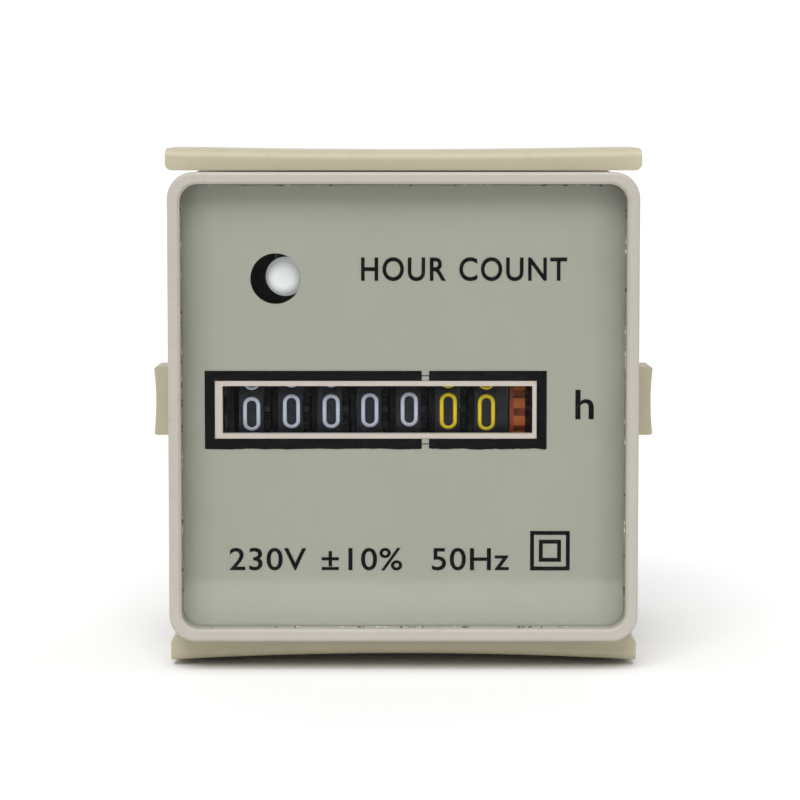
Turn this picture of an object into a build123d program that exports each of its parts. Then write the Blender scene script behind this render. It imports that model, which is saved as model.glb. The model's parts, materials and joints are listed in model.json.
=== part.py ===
"""Square panel-mounted hour meter with a seven-wheel mechanical counter.

A moulded case with a 48 mm bezel holds a clear lens, a printed dial plate and a light window surround.
Behind the window seven number wheels turn on one steel shaft and carry into each other through pinions on a
second shaft. A mains synchronous motor drives them through a train of plastic gears between two steel
plates, with a friction clutch in the middle. A circuit board feeds the motor and the run lamp from two
flat blade terminals in the rear cover. A clamp frame slides on the body from behind and pulls the bezel
against the panel; its two pawls latch in ratchet racks on the body's sides.

Millimetres. The origin is the centre of the panel cut-out in the plane of the panel's front face.
+Z is up, the bezel faces -Y, and the body runs back along +Y.
"""

from build123d import *
import math
import os

OUT_FOLDER = "parts"
os.makedirs(OUT_FOLDER, exist_ok=True)

# ---------------------------------------------------------------- bezel, case and cover
BEZEL_SIZE = 48.0            # the square face
BEZEL_DEPTH = 4.0            # from the panel to the front of the bezel
BEZEL_CORNER = 2.7           # corner radius of the face
BEZEL_RING = 1.25            # width of the rim round the lens
BEZEL_EDGE = 0.35            # rounding of the rim's front edges
BODY_SIZE = 44.4             # goes through the panel cut-out
BODY_LENGTH = 40.0           # behind the panel
BODY_CORNER = 1.5
BODY_WALL = 1.6
CORNER_BOSS = 2.4            # radius of the screw bosses in the body
BOSS_LENGTH = 9.0
SCREW_PILOT = 0.9            # radius of the screws' core in the bosses
COVER_THICKNESS = 2.0
COVER_FIT = 0.1              # gap round the cover
RAIL_HEIGHT = 1.0            # guide ribs that hold the movement's plates
RAIL_WIDTH = 1.0

# ---------------------------------------------------------------- lens, dial and window
LENS_SET_BACK = 1.1          # from the bezel's front to the lens
LENS_THICKNESS = 1.45
LENS_GAP = 0.08              # round the lens and the dial
LENS_EDGE = 0.12             # bevel of the lens's edges
DIAL_GAP = 0.1               # between lens and dial
DIAL_THICKNESS = 0.45
WINDOW_LOW_X = -18.6         # the sight window in the surround
WINDOW_HIGH_X = 13.25
WINDOW_HEIGHT = 4.9
WINDOW_Z = -0.37             # height of the window's middle, and of the number wheels' axis
SURROUND_LEFT = 0.80         # visible widths of the surround's rim
SURROUND_RIGHT = 0.45
SURROUND_TOP = 0.55
SURROUND_FIT = 0.04
SURROUND_FLANGE = 1.2        # behind the dial, past the rim
SURROUND_DEPTH = 0.6         # thickness of that flange
LAMP_X = -13.1
LAMP_Z = 13.1
LAMP_HOLE = 2.6              # radius of the hole in the dial

# ---------------------------------------------------------------- number wheels and carry pinions
WHEEL_COUNT = 7
WHEEL_RADIUS = 6.9
WHEEL_PITCH = 4.055          # along the shaft
FIRST_WHEEL_X = 8.6          # middle of the hundredths wheel
WHEEL_BEHIND_WINDOW = 0.7    # free space between the surround and the wheels
WHEEL_SHAFT = 0.75
WHEEL_PLAY = 0.05            # running clearance, radial
CARRY_GEAR_TEETH = 20
CARRY_PINION_TEETH = 8
CARRY_GEAR_BELOW = 0.7       # from the number band down to the tips of the carry gear
CARRY_GEAR_WIDTH = 0.62
CARRY_DISC_WIDTH = 0.62
CARRY_GAP = 0.215            # between a wheel's carry disc and the next wheel's gear
CARRY_MODULE = (WHEEL_RADIUS - CARRY_GEAR_BELOW) / (CARRY_GEAR_TEETH / 2 + 1)
CARRY_DISC = CARRY_MODULE * 8.67        # radius of the disc that carries the two carry teeth
CARRY_TOOTH_TIP = CARRY_MODULE * 10.4
HUB_GROOVE = (CARRY_MODULE * 9.2, CARRY_MODULE * 10.7)   # relief groove in a wheel's side
HUB_GROOVE_DEPTH = 1.5
BAND_WIDTH = WHEEL_PITCH - CARRY_GEAR_WIDTH - CARRY_DISC_WIDTH - CARRY_GAP   # of the numbers
CARRY_TOOTH_ANGLE = 7.0      # from the pair's middle to each tooth
CARRY_TOOTH_HALF = 2.6       # half the width of a carry tooth, in degrees
CARRY_SHAFT = 0.5
CARRY_ANGLE = -60.0          # direction of the carry shaft from the wheel shaft, from +Y towards +Z
CARRY_LEAD = 18.0            # the carry teeth have passed the pinion by half a digit at rest
PINION_AXIAL_GAP = 0.1

# ---------------------------------------------------------------- indicator wheel and its gear
INDICATOR_RADIUS = WHEEL_RADIUS - 0.3
INDICATOR_SLOTS = 22
INDICATOR_SLOT_SHARE = 0.46  # of the pitch
INDICATOR_SLOT_TURN = 3.5    # degrees that the foremost slot sits below the wheel's axis
INDICATOR_SLOT_DEPTH = 0.9
INDICATOR_FLANGE = 0.45      # plain ring left of the slots
INDICATOR_WIDTH = 1.65
INDICATOR_GAP = 1.05         # from the hundredths wheel's band
SKIRT_GAP = 0.1              # from the hundredths wheel's black skirt to the slotted ring
INDICATOR_GEAR_WIDTH = 0.6
INDICATOR_GEAR_TEETH = 22
INDICATOR_MODULE = 0.5

# ---------------------------------------------------------------- gear train, from the counter to the motor
PRESSURE_ANGLE = math.radians(20)
BACKLASH = 0.16              # of the module, on each pair
ROOT_CLEARANCE = 0.25        # of the module
PLATE_THICKNESS = 0.8
PLATE_GAP_X = 0.15           # between the indicator's gear and the inner plate
TRAIN_SPACE = 5.0            # between the two plates
LAYER_PITCH = 1.1
LAYER_START = 0.4
GEAR_WIDTH = 0.8
ARBOR = 0.5
ARBOR_PLAY = 0.03
TRAIN_MODULE = 0.25
FIRST_MODULE = 0.2           # of the pair next to the motor
WHEEL_TEETH = 50
FIRST_WHEEL_TEETH = 60
PINION_TEETH = 10
OUTPUT_PINION_TEETH = 11
OUTPUT_HUB = 1.2             # tube that carries the output pinion through the inner plate
OUTPUT_HUB_PLAY = 0.3
TRAIN_ANGLES = (35.0, 30.0, -20.0, -100.0, -90.0)   # from each axis to the next, counter to motor
WEB_THICKNESS = 0.4          # of the gears' thin web
WEB_RIM = 0.7
WEB_HUB = 2.0
HUB = 0.95                   # radius of the hubs that reach to the plates
HUB_END_PLAY = 0.1
CLUTCH_SPRING = 0.15         # thickness of the clutch's spring washer
PILLAR = 1.2
PILLAR_SCREW = 0.6
PILLARS = ((13.5, -6.6), (34.2, -6.0), (34.0, 12.9), (11.2, 12.7))

# ---------------------------------------------------------------- motor
CAN_RADIUS = 9.5
CAN_WALL = 0.7
MOTOR_LENGTH = 12.0
CLAW_COUNT = 12              # on each of the two pole plates
CLAW_RADIUS = 5.75
CLAW_THICKNESS = 0.5
CLAW_WIDTH = 0.8
CLAW_LENGTH = MOTOR_LENGTH - 4.0
MAGNET_RADIUS = 5.35
MAGNET_LENGTH = MOTOR_LENGTH - 4.4
MAGNET_BORE = 2.2
BOBBIN_INNER = 6.4
BOBBIN_WALL = 0.45
BOBBIN_FLANGE = 8.6
COIL_RADIUS = 8.3
ROTOR_SHAFT = 0.5
BUSH = 1.4
EAR_DISTANCE = 11.2
EAR_RADIUS = 1.5
EAR_ANGLES = (120.0, -60.0)
RIVET = 0.7

# ---------------------------------------------------------------- counter frame
END_PLATE_GAP = 0.5          # from the last wheel to the end plate
TIE_BAR = 0.9
TIE_BARS = ((2.6, -9.6), (13.6, 9.0))
SHAFT_CLIP = 1.7
CLIP_THICKNESS = 0.3

# ---------------------------------------------------------------- circuit board
BOARD_Z = 15.6
BOARD_THICKNESS = 1.0
BOARD_X = (-19.6, 15.6)
BOARD_FRONT = 9.5
BOARD_BEHIND = 1.8           # from the board to the rear cover
PLATE_BEHIND = 0.8           # from the inner plate to the rear cover
LAMP_RADIUS = 1.75
LAMP_RIM = 2.05
LAMP_RIM_LENGTH = 0.9
LAMP_LENGTH = 5.0
LAMP_TIP_Y = 1.0
LAMP_OFFSET_X = 0.75         # the lamp stands a little to the right of its hole
LAMP_TO_PLATE = 1.0          # least space between the lamp and the counter's end plate
LAMP_LEAD = 0.25
LAMP_LEAD_PITCH = 2.54
RESISTOR = (1.2, 6.2)        # radius, length
DIODE = (1.3, 4.6)
CAPACITOR = (7.0, 9.0, 3.4)  # width, length, height
COMPONENT_LEAD = 0.3
WIRE = 0.35
WIRE_X = (5.6, 8.4)

# ---------------------------------------------------------------- blade terminals
BLADE_WIDTH = 6.3
BLADE_THICKNESS = 0.8
BLADE_OUT = 8.6              # past the rear cover
BLADE_IN = 7.0               # in from the cover's inner face
BLADE_X = 8.5
BLADE_TIP = 1.0              # chamfer of the tip's corners
BLADE_EYE = 0.8
BLADE_SLOT_FIT = 0.05
SHROUD_HEIGHT = 1.6          # raised collar round each blade
SHROUD_MARGIN = 1.3

# ---------------------------------------------------------------- clamp frame and pawls
RACK_PITCH = 1.5
RACK_DEPTH = 0.4
RACK_RAMP = 0.8              # length of a notch's ramp, as a share of the pitch
RACK_START = 6.0             # steep face of the first notch
RACK_TEETH = 21
RACK_WIDTH = 6.0
FRAME_FIT = 0.25             # round the body
FRAME_WALL = 1.85
FRAME_Y = (9.5, 14.5)        # the collar round the body
FLAP_FRONT = 0.3
FLAP_INNER = BEZEL_SIZE / 2 + 0.15      # from the axis to a flap's inner face
UPPER_FLAP = (BEZEL_SIZE + 1.0, 2.5, 0.3)      # width, thickness, and how far the outer face is hollowed
LOWER_FLAP = (BEZEL_SIZE + 0.3, 3.0, 0.68)
FLAP_NOSE = 0.9              # rounding of a flap's front edge, where it meets the outer face
FRAME_CORNER = 4.0
FLAP_CORNER = 0.7
TAB_HEIGHT = 7.2
TAB_OUTER = 26.2
TAB_BOW = 0.22
TAB_Y = (5.7, 12.4)
PAWL_ARM = (22.95, 24.9)
PAWL_BARREL = 0.55           # radius of the round bead on which a pawl turns
PAWL_BARREL_PLAY = 0.05
PAWL_BARREL_BACK = 1.25      # from the collar's back face to the bead's axis
PAWL_NECK = 0.4              # thickness of the web between bead and arm
PAWL_SOCKET_LIP = 0.5        # how far the socket reaches forward of the bead's axis
PAWL_END_GAP = 0.3           # from the arm's back end to the socket
PAWL_SIDE_GAP = 0.35
PAWL_LIFT = 0.06             # the tooth's tip clears the crests by this at rest
PAWL_TOOTH_WIDTH = 5.0
PAWL_TOOTH_GAP = 0.15        # from the tooth's steep face to the notch's
PAWL_TOOTH_RAMP = 1.05


# ================================================================ worked out from the sizes above
BEZEL_FRONT = -BEZEL_DEPTH
LENS_FRONT = BEZEL_FRONT + LENS_SET_BACK
LENS_BACK = LENS_FRONT + LENS_THICKNESS
DIAL_FRONT = LENS_BACK + DIAL_GAP
DIAL_BACK = DIAL_FRONT + DIAL_THICKNESS
RECESS_SIZE = BEZEL_SIZE - 2 * BEZEL_RING
RECESS_CORNER = BEZEL_CORNER - BEZEL_RING / 2 - 0.3
BODY_INSIDE = BODY_SIZE - 2 * BODY_WALL
COVER_INNER_Y = BODY_LENGTH - COVER_THICKNESS
WHEEL_AXIS_Y = DIAL_BACK + SURROUND_DEPTH + WHEEL_BEHIND_WINDOW + WHEEL_RADIUS
WHEEL_AXIS = (WHEEL_AXIS_Y, WINDOW_Z)


def step(start, distance, degrees):
    """The point at a distance from start, in the Y-Z plane, with the angle counted from +Y towards +Z."""
    angle = math.radians(degrees)
    return start[0] + distance * math.cos(angle), start[1] + distance * math.sin(angle)


def pair_distance(module, teeth, other_teeth):
    """Centre distance of two meshing gears."""
    return module * (teeth + other_teeth) / 2


CARRY_DISTANCE = pair_distance(CARRY_MODULE, CARRY_GEAR_TEETH, CARRY_PINION_TEETH)
CARRY_AXIS = step(WHEEL_AXIS, CARRY_DISTANCE, CARRY_ANGLE)
TRAIN_DISTANCES = (
    pair_distance(INDICATOR_MODULE, INDICATOR_GEAR_TEETH, OUTPUT_PINION_TEETH),
    pair_distance(TRAIN_MODULE, WHEEL_TEETH, PINION_TEETH),
    pair_distance(TRAIN_MODULE, WHEEL_TEETH, PINION_TEETH),
    pair_distance(TRAIN_MODULE, WHEEL_TEETH, PINION_TEETH),
    pair_distance(FIRST_MODULE, FIRST_WHEEL_TEETH, PINION_TEETH),
)
AXIS_4 = step(WHEEL_AXIS, TRAIN_DISTANCES[0], TRAIN_ANGLES[0])
AXIS_3 = step(AXIS_4, TRAIN_DISTANCES[1], TRAIN_ANGLES[1])
AXIS_2 = step(AXIS_3, TRAIN_DISTANCES[2], TRAIN_ANGLES[2])
AXIS_1 = step(AXIS_2, TRAIN_DISTANCES[3], TRAIN_ANGLES[3])
MOTOR_AXIS = step(AXIS_1, TRAIN_DISTANCES[4], TRAIN_ANGLES[4])

INDICATOR_X0 = FIRST_WHEEL_X + BAND_WIDTH / 2 + INDICATOR_GAP
INDICATOR_X1 = INDICATOR_X0 + INDICATOR_WIDTH
INDICATOR_GEAR_X = (INDICATOR_X1, INDICATOR_X1 + INDICATOR_GEAR_WIDTH)
INNER_PLATE_X = (INDICATOR_GEAR_X[1] + PLATE_GAP_X, INDICATOR_GEAR_X[1] + PLATE_GAP_X + PLATE_THICKNESS)
OUTER_PLATE_X = (INNER_PLATE_X[1] + TRAIN_SPACE, INNER_PLATE_X[1] + TRAIN_SPACE + PLATE_THICKNESS)
LAST_WHEEL_X = FIRST_WHEEL_X - (WHEEL_COUNT - 1) * WHEEL_PITCH
LAMP_CENTRE_X = LAMP_X + LAMP_OFFSET_X
END_PLATE_X1 = min(LAST_WHEEL_X - BAND_WIDTH / 2 - END_PLATE_GAP, LAMP_CENTRE_X - LAMP_RIM - LAMP_TO_PLATE)
END_PLATE_X = (END_PLATE_X1 - PLATE_THICKNESS, END_PLATE_X1)
FRAME_INNER = BODY_SIZE / 2 + FRAME_FIT
FRAME_OUTER = FRAME_INNER + FRAME_WALL
PLATE_LOW = -BODY_INSIDE / 2 + 0.2
PLATE_REAR = COVER_INNER_Y - PLATE_BEHIND
BOARD_Y = (BOARD_FRONT, COVER_INNER_Y - BOARD_BEHIND)
PAWL_AXIS = ((FRAME_INNER + FRAME_OUTER) / 2, FRAME_Y[1] - PAWL_BARREL_BACK)
PAWL_TOOTH_Y = RACK_START + RACK_PITCH - PAWL_TOOTH_GAP
WHEEL_NAMES = ("hundredths", "tenths", "units", "tens", "hundreds", "thousands", "ten_thousands")


# ================================================================ shapes used by several parts
def block(x, y, z):
    """A box from (low, high) pairs."""
    size = (x[1] - x[0], y[1] - y[0], z[1] - z[0])
    middle = ((x[0] + x[1]) / 2, (y[0] + y[1]) / 2, (z[0] + z[1]) / 2)
    return Pos(*middle) * Box(*size)


def facing_y(sketch, y):
    """A sketch in X and Z, extruded from y[0] to y[1]."""
    return extrude(Plane.XZ.offset(-y[1]) * sketch, amount=y[1] - y[0])


def facing_x(sketch, x):
    """A sketch in Y and Z, extruded from x[0] to x[1]."""
    return extrude(Plane.YZ.offset(x[0]) * sketch, amount=x[1] - x[0])


def facing_z(sketch, z):
    """A sketch in X and Y, extruded from z[0] to z[1]."""
    return extrude(Plane.XY.offset(z[0]) * sketch, amount=z[1] - z[0])


def rod_x(radius, x, axis):
    """A round bar along X, whose axis stands at (y, z)."""
    return facing_x(Pos(*axis) * Circle(radius), x)


def rod_y(radius, y, axis):
    """A round bar along Y, whose axis stands at (x, z)."""
    return facing_y(Pos(*axis) * Circle(radius), y)


def square_bar(size, corner, y):
    """A square bar along Y with round corners."""
    return facing_y(RectangleRounded(size, size, corner), y)


def polar(radius, angle):
    """A point from a radius and an angle in radians."""
    return radius * math.cos(angle), radius * math.sin(angle)


def tip_limit(module, teeth, other_teeth):
    """The largest tip radius that doesn't cut into the flanks of the other gear."""
    base = module * teeth / 2 * math.cos(PRESSURE_ANGLE)
    reach = pair_distance(module, teeth, other_teeth) * math.sin(PRESSURE_ANGLE)
    return math.hypot(base, reach)


def gear_outline(module, teeth, other_teeth, phase_degrees, keep=None):
    """A face with involute teeth for a gear that meshes with other_teeth. A tooth's middle stands at the phase.

    keep, if given, says which teeth are made, as a function of the tooth's number.
    """
    pitch = module * teeth / 2
    base = pitch * math.cos(PRESSURE_ANGLE)
    tip = min(pitch + module, tip_limit(module, teeth, other_teeth) - 0.02 * module)
    other_pitch = module * other_teeth / 2
    other_tip = min(other_pitch + module, tip_limit(module, other_teeth, teeth) - 0.02 * module)
    root = pair_distance(module, teeth, other_teeth) - other_tip - ROOT_CLEARANCE * module
    half_at_pitch = (math.pi * module / 2 - BACKLASH * module / 2) / 2 / pitch
    involute = math.tan(PRESSURE_ANGLE) - PRESSURE_ANGLE

    def half_angle(radius):
        if radius <= base:
            return half_at_pitch + involute
        angle = math.acos(base / radius)
        return half_at_pitch + involute - (math.tan(angle) - angle)

    start = max(root, min(base, root * 1.0001))
    flank = [start] + [r for r in (base, (base + pitch) / 2, pitch, (pitch + tip) / 2) if r > start] + [tip]
    points = []
    for tooth in range(teeth):
        if keep and not keep(tooth):
            continue
        middle = math.radians(phase_degrees) + tooth * 2 * math.pi / teeth
        points += [polar(r, middle - half_angle(r)) for r in flank]
        points += [polar(r, middle + half_angle(r)) for r in reversed(flank)]
    if keep:
        # between the teeth that are left the outline follows the root circle
        return make_face(Polyline(*points, close=True)) + Circle(root)
    return make_face(Polyline(*points, close=True))


def mesh_phase(phase, teeth, other_teeth, degrees):
    """The phase of a gear that meshes with one of the given phase, seen from it at an angle in degrees."""
    return degrees + 180 - (phase - degrees) * teeth / other_teeth + 180 / other_teeth


def pan_head_screw(core, head, length, tip_y, toward):
    """A small pan-head screw along Y, with a cross recess. Its tip is at tip_y and its head is towards +Y."""
    x, z = toward
    head_height = head * 0.7
    shank = rod_y(core, (tip_y, tip_y + length), (x, z))
    cap = rod_y(head, (tip_y + length, tip_y + length + head_height), (x, z))
    cap = fillet(cap.edges().sort_by(Axis.Y)[-1], head * 0.3)
    top = tip_y + length + head_height
    slot = head * 0.18
    recess = [
        block((x - slot, x + slot), (top - head_height / 2, top + 1), (z - head * 0.6, z + head * 0.6)),
        block((x - head * 0.6, x + head * 0.6), (top - head_height / 2, top + 1), (z - slot, z + slot)),
    ]
    return shank + cap - recess


# ================================================================ case
def rack(side):
    """The notches of one ratchet rack, as a solid to be cut from the side wall. side is -1 or 1."""
    wall = side * BODY_SIZE / 2
    notches = []
    for number in range(RACK_TEETH):
        steep = RACK_START + number * RACK_PITCH
        ramp_start = steep - RACK_PITCH * RACK_RAMP
        profile = Polyline(
            (wall + side * 0.2, steep),
            (wall - side * RACK_DEPTH, steep),
            (wall, ramp_start),
            (wall + side * 0.2, ramp_start),
            close=True,
        )
        notches.append(facing_z(make_face(profile), (-RACK_WIDTH / 2, RACK_WIDTH / 2)))
    return notches


def boss_centres():
    """Where the cover's two screws stand, in opposite corners of the body."""
    reach = BODY_INSIDE / 2 - CORNER_BOSS + 0.2
    return (-reach, -reach), (reach, reach)


def make_case_shell():
    """Bezel and body in one moulding, open at the back."""
    bezel = square_bar(BEZEL_SIZE, BEZEL_CORNER, (BEZEL_FRONT, 0))
    front_edges = bezel.faces().sort_by(Axis.Y)[0].edges()
    bezel = fillet(front_edges, BEZEL_EDGE)
    body = square_bar(BODY_SIZE, BODY_CORNER, (0, BODY_LENGTH))
    recess = square_bar(RECESS_SIZE, RECESS_CORNER, (BEZEL_FRONT - 1, DIAL_BACK))
    inside = square_bar(BODY_INSIDE, BODY_CORNER / 2, (BEZEL_FRONT, BODY_LENGTH + 1))
    shell = bezel + body - recess - inside
    rim = shell.faces().sort_by(Axis.Y)[0].edges()
    inner_rim = [e for e in rim if max(abs(e.center().X), abs(e.center().Z)) < RECESS_SIZE / 2 + 0.05]
    shell = chamfer(inner_rim, BEZEL_EDGE * 0.7)
    for x, z in boss_centres():
        boss = rod_y(CORNER_BOSS, (COVER_INNER_Y - BOSS_LENGTH, COVER_INNER_Y), (x, z))
        corner = (BODY_INSIDE / 2 + 0.1) * math.copysign(1, x)
        fill = block(sorted((x, corner)), (COVER_INNER_Y - BOSS_LENGTH, COVER_INNER_Y), sorted((z, corner)))
        shell += (boss + fill) & square_bar(BODY_INSIDE + 0.2, BODY_CORNER, (0, BODY_LENGTH))
        shell -= rod_y(SCREW_PILOT, (COVER_INNER_Y - BOSS_LENGTH + 1.2, COVER_INNER_Y + 1), (x, z))
    for plate in (END_PLATE_X, INNER_PLATE_X):
        for edge in (plate[0] - COVER_FIT - RAIL_WIDTH, plate[1] + COVER_FIT):
            for low, high in ((-BODY_INSIDE / 2 - 0.1, -BODY_INSIDE / 2 + RAIL_HEIGHT),
                              (BODY_INSIDE / 2 - RAIL_HEIGHT, BODY_INSIDE / 2 + 0.1)):
                if edge > -BODY_INSIDE / 2:
                    shell += block((edge, edge + RAIL_WIDTH), (3.0, 26.0), (low, high))
    for side in (-1, 1):
        shell -= rack(side)
    return shell


def make_front_lens():
    """Clear plate that lies in the bezel's recess."""
    size = RECESS_SIZE - 2 * LENS_GAP
    lens = square_bar(size, RECESS_CORNER - LENS_GAP, (LENS_FRONT, LENS_BACK))
    return chamfer(lens.faces().sort_by(Axis.Y)[0].edges(), LENS_EDGE)


def window_sketch(left, right, top, corner):
    """A rectangle round the sight window, wider by the given margins."""
    width = WINDOW_HIGH_X - WINDOW_LOW_X + left + right
    middle = (WINDOW_LOW_X - left + WINDOW_HIGH_X + right) / 2
    return Pos(middle, WINDOW_Z) * RectangleRounded(width, WINDOW_HEIGHT + 2 * top, corner)


def make_dial_plate():
    """Thin plate with the surround's opening and the lamp's hole."""
    size = RECESS_SIZE - 2 * LENS_GAP
    dial = square_bar(size, RECESS_CORNER - LENS_GAP, (DIAL_FRONT, DIAL_BACK))
    cut = (DIAL_FRONT - 1, DIAL_BACK + 1)
    opening = window_sketch(SURROUND_LEFT, SURROUND_RIGHT, SURROUND_TOP, 0.35)
    dial -= facing_y(opening, cut)
    dial -= rod_y(LAMP_HOLE, cut, (LAMP_X, LAMP_Z))
    return dial


def make_window_surround():
    """Light moulded rim that shows round the sight window, with a flange behind the dial."""
    fit = SURROUND_FIT
    rim = facing_y(
        window_sketch(SURROUND_LEFT - fit, SURROUND_RIGHT - fit, SURROUND_TOP - fit, 0.3),
        (DIAL_FRONT - DIAL_GAP / 3, DIAL_BACK),
    )
    margin = SURROUND_FLANGE
    flange = facing_y(
        window_sketch(SURROUND_LEFT + margin, SURROUND_RIGHT + margin, SURROUND_TOP + margin, 0.5),
        (DIAL_BACK, DIAL_BACK + SURROUND_DEPTH),
    )
    sight = facing_y(window_sketch(0, 0, 0, 0.12), (DIAL_FRONT - 1, DIAL_BACK + SURROUND_DEPTH + 1))
    return rim + flange - sight


def blade_profile(x):
    """The outline of a blade terminal from above: tail, shoulder and chamfered tip."""
    half = BLADE_WIDTH / 2
    tail = half * 0.45
    tip = BODY_LENGTH + BLADE_OUT
    inner = COVER_INNER_Y - BLADE_IN
    shoulder = COVER_INNER_Y - BLADE_IN * 0.35
    right = [(tail, inner), (tail, shoulder), (half, shoulder), (half, tip - BLADE_TIP), (half - BLADE_TIP, tip)]
    points = [(x + a, y) for a, y in right] + [(x - a, y) for a, y in reversed(right)]
    return make_face(Polyline(*points, close=True))


BLADE_Z = (BOARD_Z + BOARD_THICKNESS, BOARD_Z + BOARD_THICKNESS + BLADE_THICKNESS)


def make_blade(x):
    """A flat plug terminal, soldered to the board and standing out of the cover."""
    blade = facing_z(blade_profile(x), BLADE_Z)
    eye = Pos(x, BODY_LENGTH + BLADE_OUT * 0.6) * Circle(BLADE_EYE)
    blade -= facing_z(eye, (BLADE_Z[0] - 1, BLADE_Z[1] + 1))
    return chamfer(blade.faces().sort_by(Axis.Y)[-1].edges().filter_by(Axis.X), BLADE_THICKNESS * 0.3)


def make_rear_cover():
    """Plate that closes the body, with a raised collar round each blade and holes for its screws."""
    size = BODY_INSIDE - 2 * COVER_FIT
    cover = square_bar(size, BODY_CORNER / 2, (COVER_INNER_Y, BODY_LENGTH))
    middle_z = (BLADE_Z[0] + BLADE_Z[1]) / 2
    for x in (-BLADE_X, BLADE_X):
        collar = Pos(x, middle_z) * RectangleRounded(
            BLADE_WIDTH + 2 * SHROUD_MARGIN, BLADE_THICKNESS + 2 * SHROUD_MARGIN, 0.8
        )
        cover += facing_y(collar, (BODY_LENGTH, BODY_LENGTH + SHROUD_HEIGHT))
    for x in (-BLADE_X, BLADE_X):
        slot = Pos(x, middle_z) * Rectangle(
            BLADE_WIDTH + 2 * BLADE_SLOT_FIT, BLADE_THICKNESS + 2 * BLADE_SLOT_FIT
        )
        cover -= facing_y(slot, (COVER_INNER_Y - 1, BODY_LENGTH + SHROUD_HEIGHT + 1))
    for x, z in boss_centres():
        cover -= rod_y(SCREW_PILOT + 0.25, (COVER_INNER_Y - 1, BODY_LENGTH + 1), (x, z))
        cover -= rod_y(SCREW_PILOT + 1.0, (BODY_LENGTH - 1.0, BODY_LENGTH + 1), (x, z))
    for z in (-8.0, -4.0, 0.0, 4.0):
        vent = Pos(0, z) * SlotOverall(16, 1.2)
        cover -= facing_y(vent, (COVER_INNER_Y - 1, BODY_LENGTH + 1))
    return cover


def make_cover_screws():
    """Two self-tapping screws through the cover into the bosses."""
    length = BOSS_LENGTH - 2.0
    tip = BODY_LENGTH - 1.0 - length
    return [pan_head_screw(SCREW_PILOT, SCREW_PILOT + 0.85, length, tip, centre) for centre in boss_centres()]


# ================================================================ counter
def wheel_x(number):
    """The middle of a number wheel along the shaft; 0 is the hundredths wheel."""
    return FIRST_WHEEL_X - number * WHEEL_PITCH


CARRY_PINION_PHASE = CARRY_ANGLE + 180 + CARRY_LEAD * 0.25
CARRY_GEAR_PHASE = mesh_phase(
    CARRY_PINION_PHASE, CARRY_PINION_TEETH, CARRY_GEAR_TEETH, CARRY_ANGLE + 180
)


def carry_teeth(x):
    """The disc and the two teeth that push the next pinion once a turn."""
    disc = rod_x(CARRY_DISC, x, WHEEL_AXIS)
    middle = CARRY_ANGLE - CARRY_LEAD
    for offset in (-CARRY_TOOTH_ANGLE, CARRY_TOOTH_ANGLE):
        low = math.radians(middle + offset - CARRY_TOOTH_HALF * 1.5)
        high = math.radians(middle + offset + CARRY_TOOTH_HALF * 1.5)
        low_tip = math.radians(middle + offset - CARRY_TOOTH_HALF)
        high_tip = math.radians(middle + offset + CARRY_TOOTH_HALF)
        root = CARRY_DISC * 0.9
        outline = Polyline(
            polar(root, low), polar(CARRY_TOOTH_TIP, low_tip), polar(CARRY_TOOTH_TIP, high_tip),
            polar(root, high), close=True,
        )
        disc += facing_x(Pos(*WHEEL_AXIS) * make_face(outline), x)
    return disc


def make_number_wheel(number):
    """A number wheel: the band, the carry gear on its right and the carry teeth on its left. The hundredths
    wheel has a skirt instead of the gear."""
    middle = wheel_x(number)
    low, high = middle - BAND_WIDTH / 2, middle + BAND_WIDTH / 2
    if number == 0:
        high = INDICATOR_X0 - SKIRT_GAP
    wheel = rod_x(WHEEL_RADIUS, (low, high), WHEEL_AXIS)
    wheel = fillet(wheel.edges(), 0.12)
    groove = rod_x(HUB_GROOVE[1], (low - 1, low + HUB_GROOVE_DEPTH), WHEEL_AXIS)
    groove -= rod_x(HUB_GROOVE[0], (low - 2, low + HUB_GROOVE_DEPTH + 1), WHEEL_AXIS)
    wheel -= groove
    if number > 0:
        outline = gear_outline(CARRY_MODULE, CARRY_GEAR_TEETH, CARRY_PINION_TEETH, CARRY_GEAR_PHASE)
        wheel += facing_x(Pos(*WHEEL_AXIS) * outline, (high, high + CARRY_GEAR_WIDTH))
    if number < WHEEL_COUNT - 1:
        wheel += carry_teeth((low - CARRY_DISC_WIDTH, low))
    return wheel - rod_x(WHEEL_SHAFT + WHEEL_PLAY, (low - 2, high + 2), WHEEL_AXIS)


def make_carry_pinion(number):
    """The pinion between wheel number and the next: eight teeth for its gear, every other one long."""
    band = wheel_x(number + 1) + BAND_WIDTH / 2
    next_band = wheel_x(number) - BAND_WIDTH / 2
    middle = band + CARRY_GEAR_WIDTH + (next_band - band - CARRY_GEAR_WIDTH - CARRY_DISC_WIDTH) / 2
    all_teeth = gear_outline(CARRY_MODULE, CARRY_PINION_TEETH, CARRY_GEAR_TEETH, CARRY_PINION_PHASE)
    long_teeth = gear_outline(
        CARRY_MODULE, CARRY_PINION_TEETH, CARRY_GEAR_TEETH, CARRY_PINION_PHASE, keep=lambda tooth: tooth % 2
    )
    pinion = facing_x(Pos(*CARRY_AXIS) * all_teeth, (band + PINION_AXIAL_GAP, middle))
    pinion += facing_x(Pos(*CARRY_AXIS) * long_teeth, (middle, next_band - PINION_AXIAL_GAP))
    return pinion - rod_x(CARRY_SHAFT + ARBOR_PLAY, (band - 1, next_band + 1), CARRY_AXIS)


INDICATOR_GEAR_PHASE = 0.0


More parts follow.
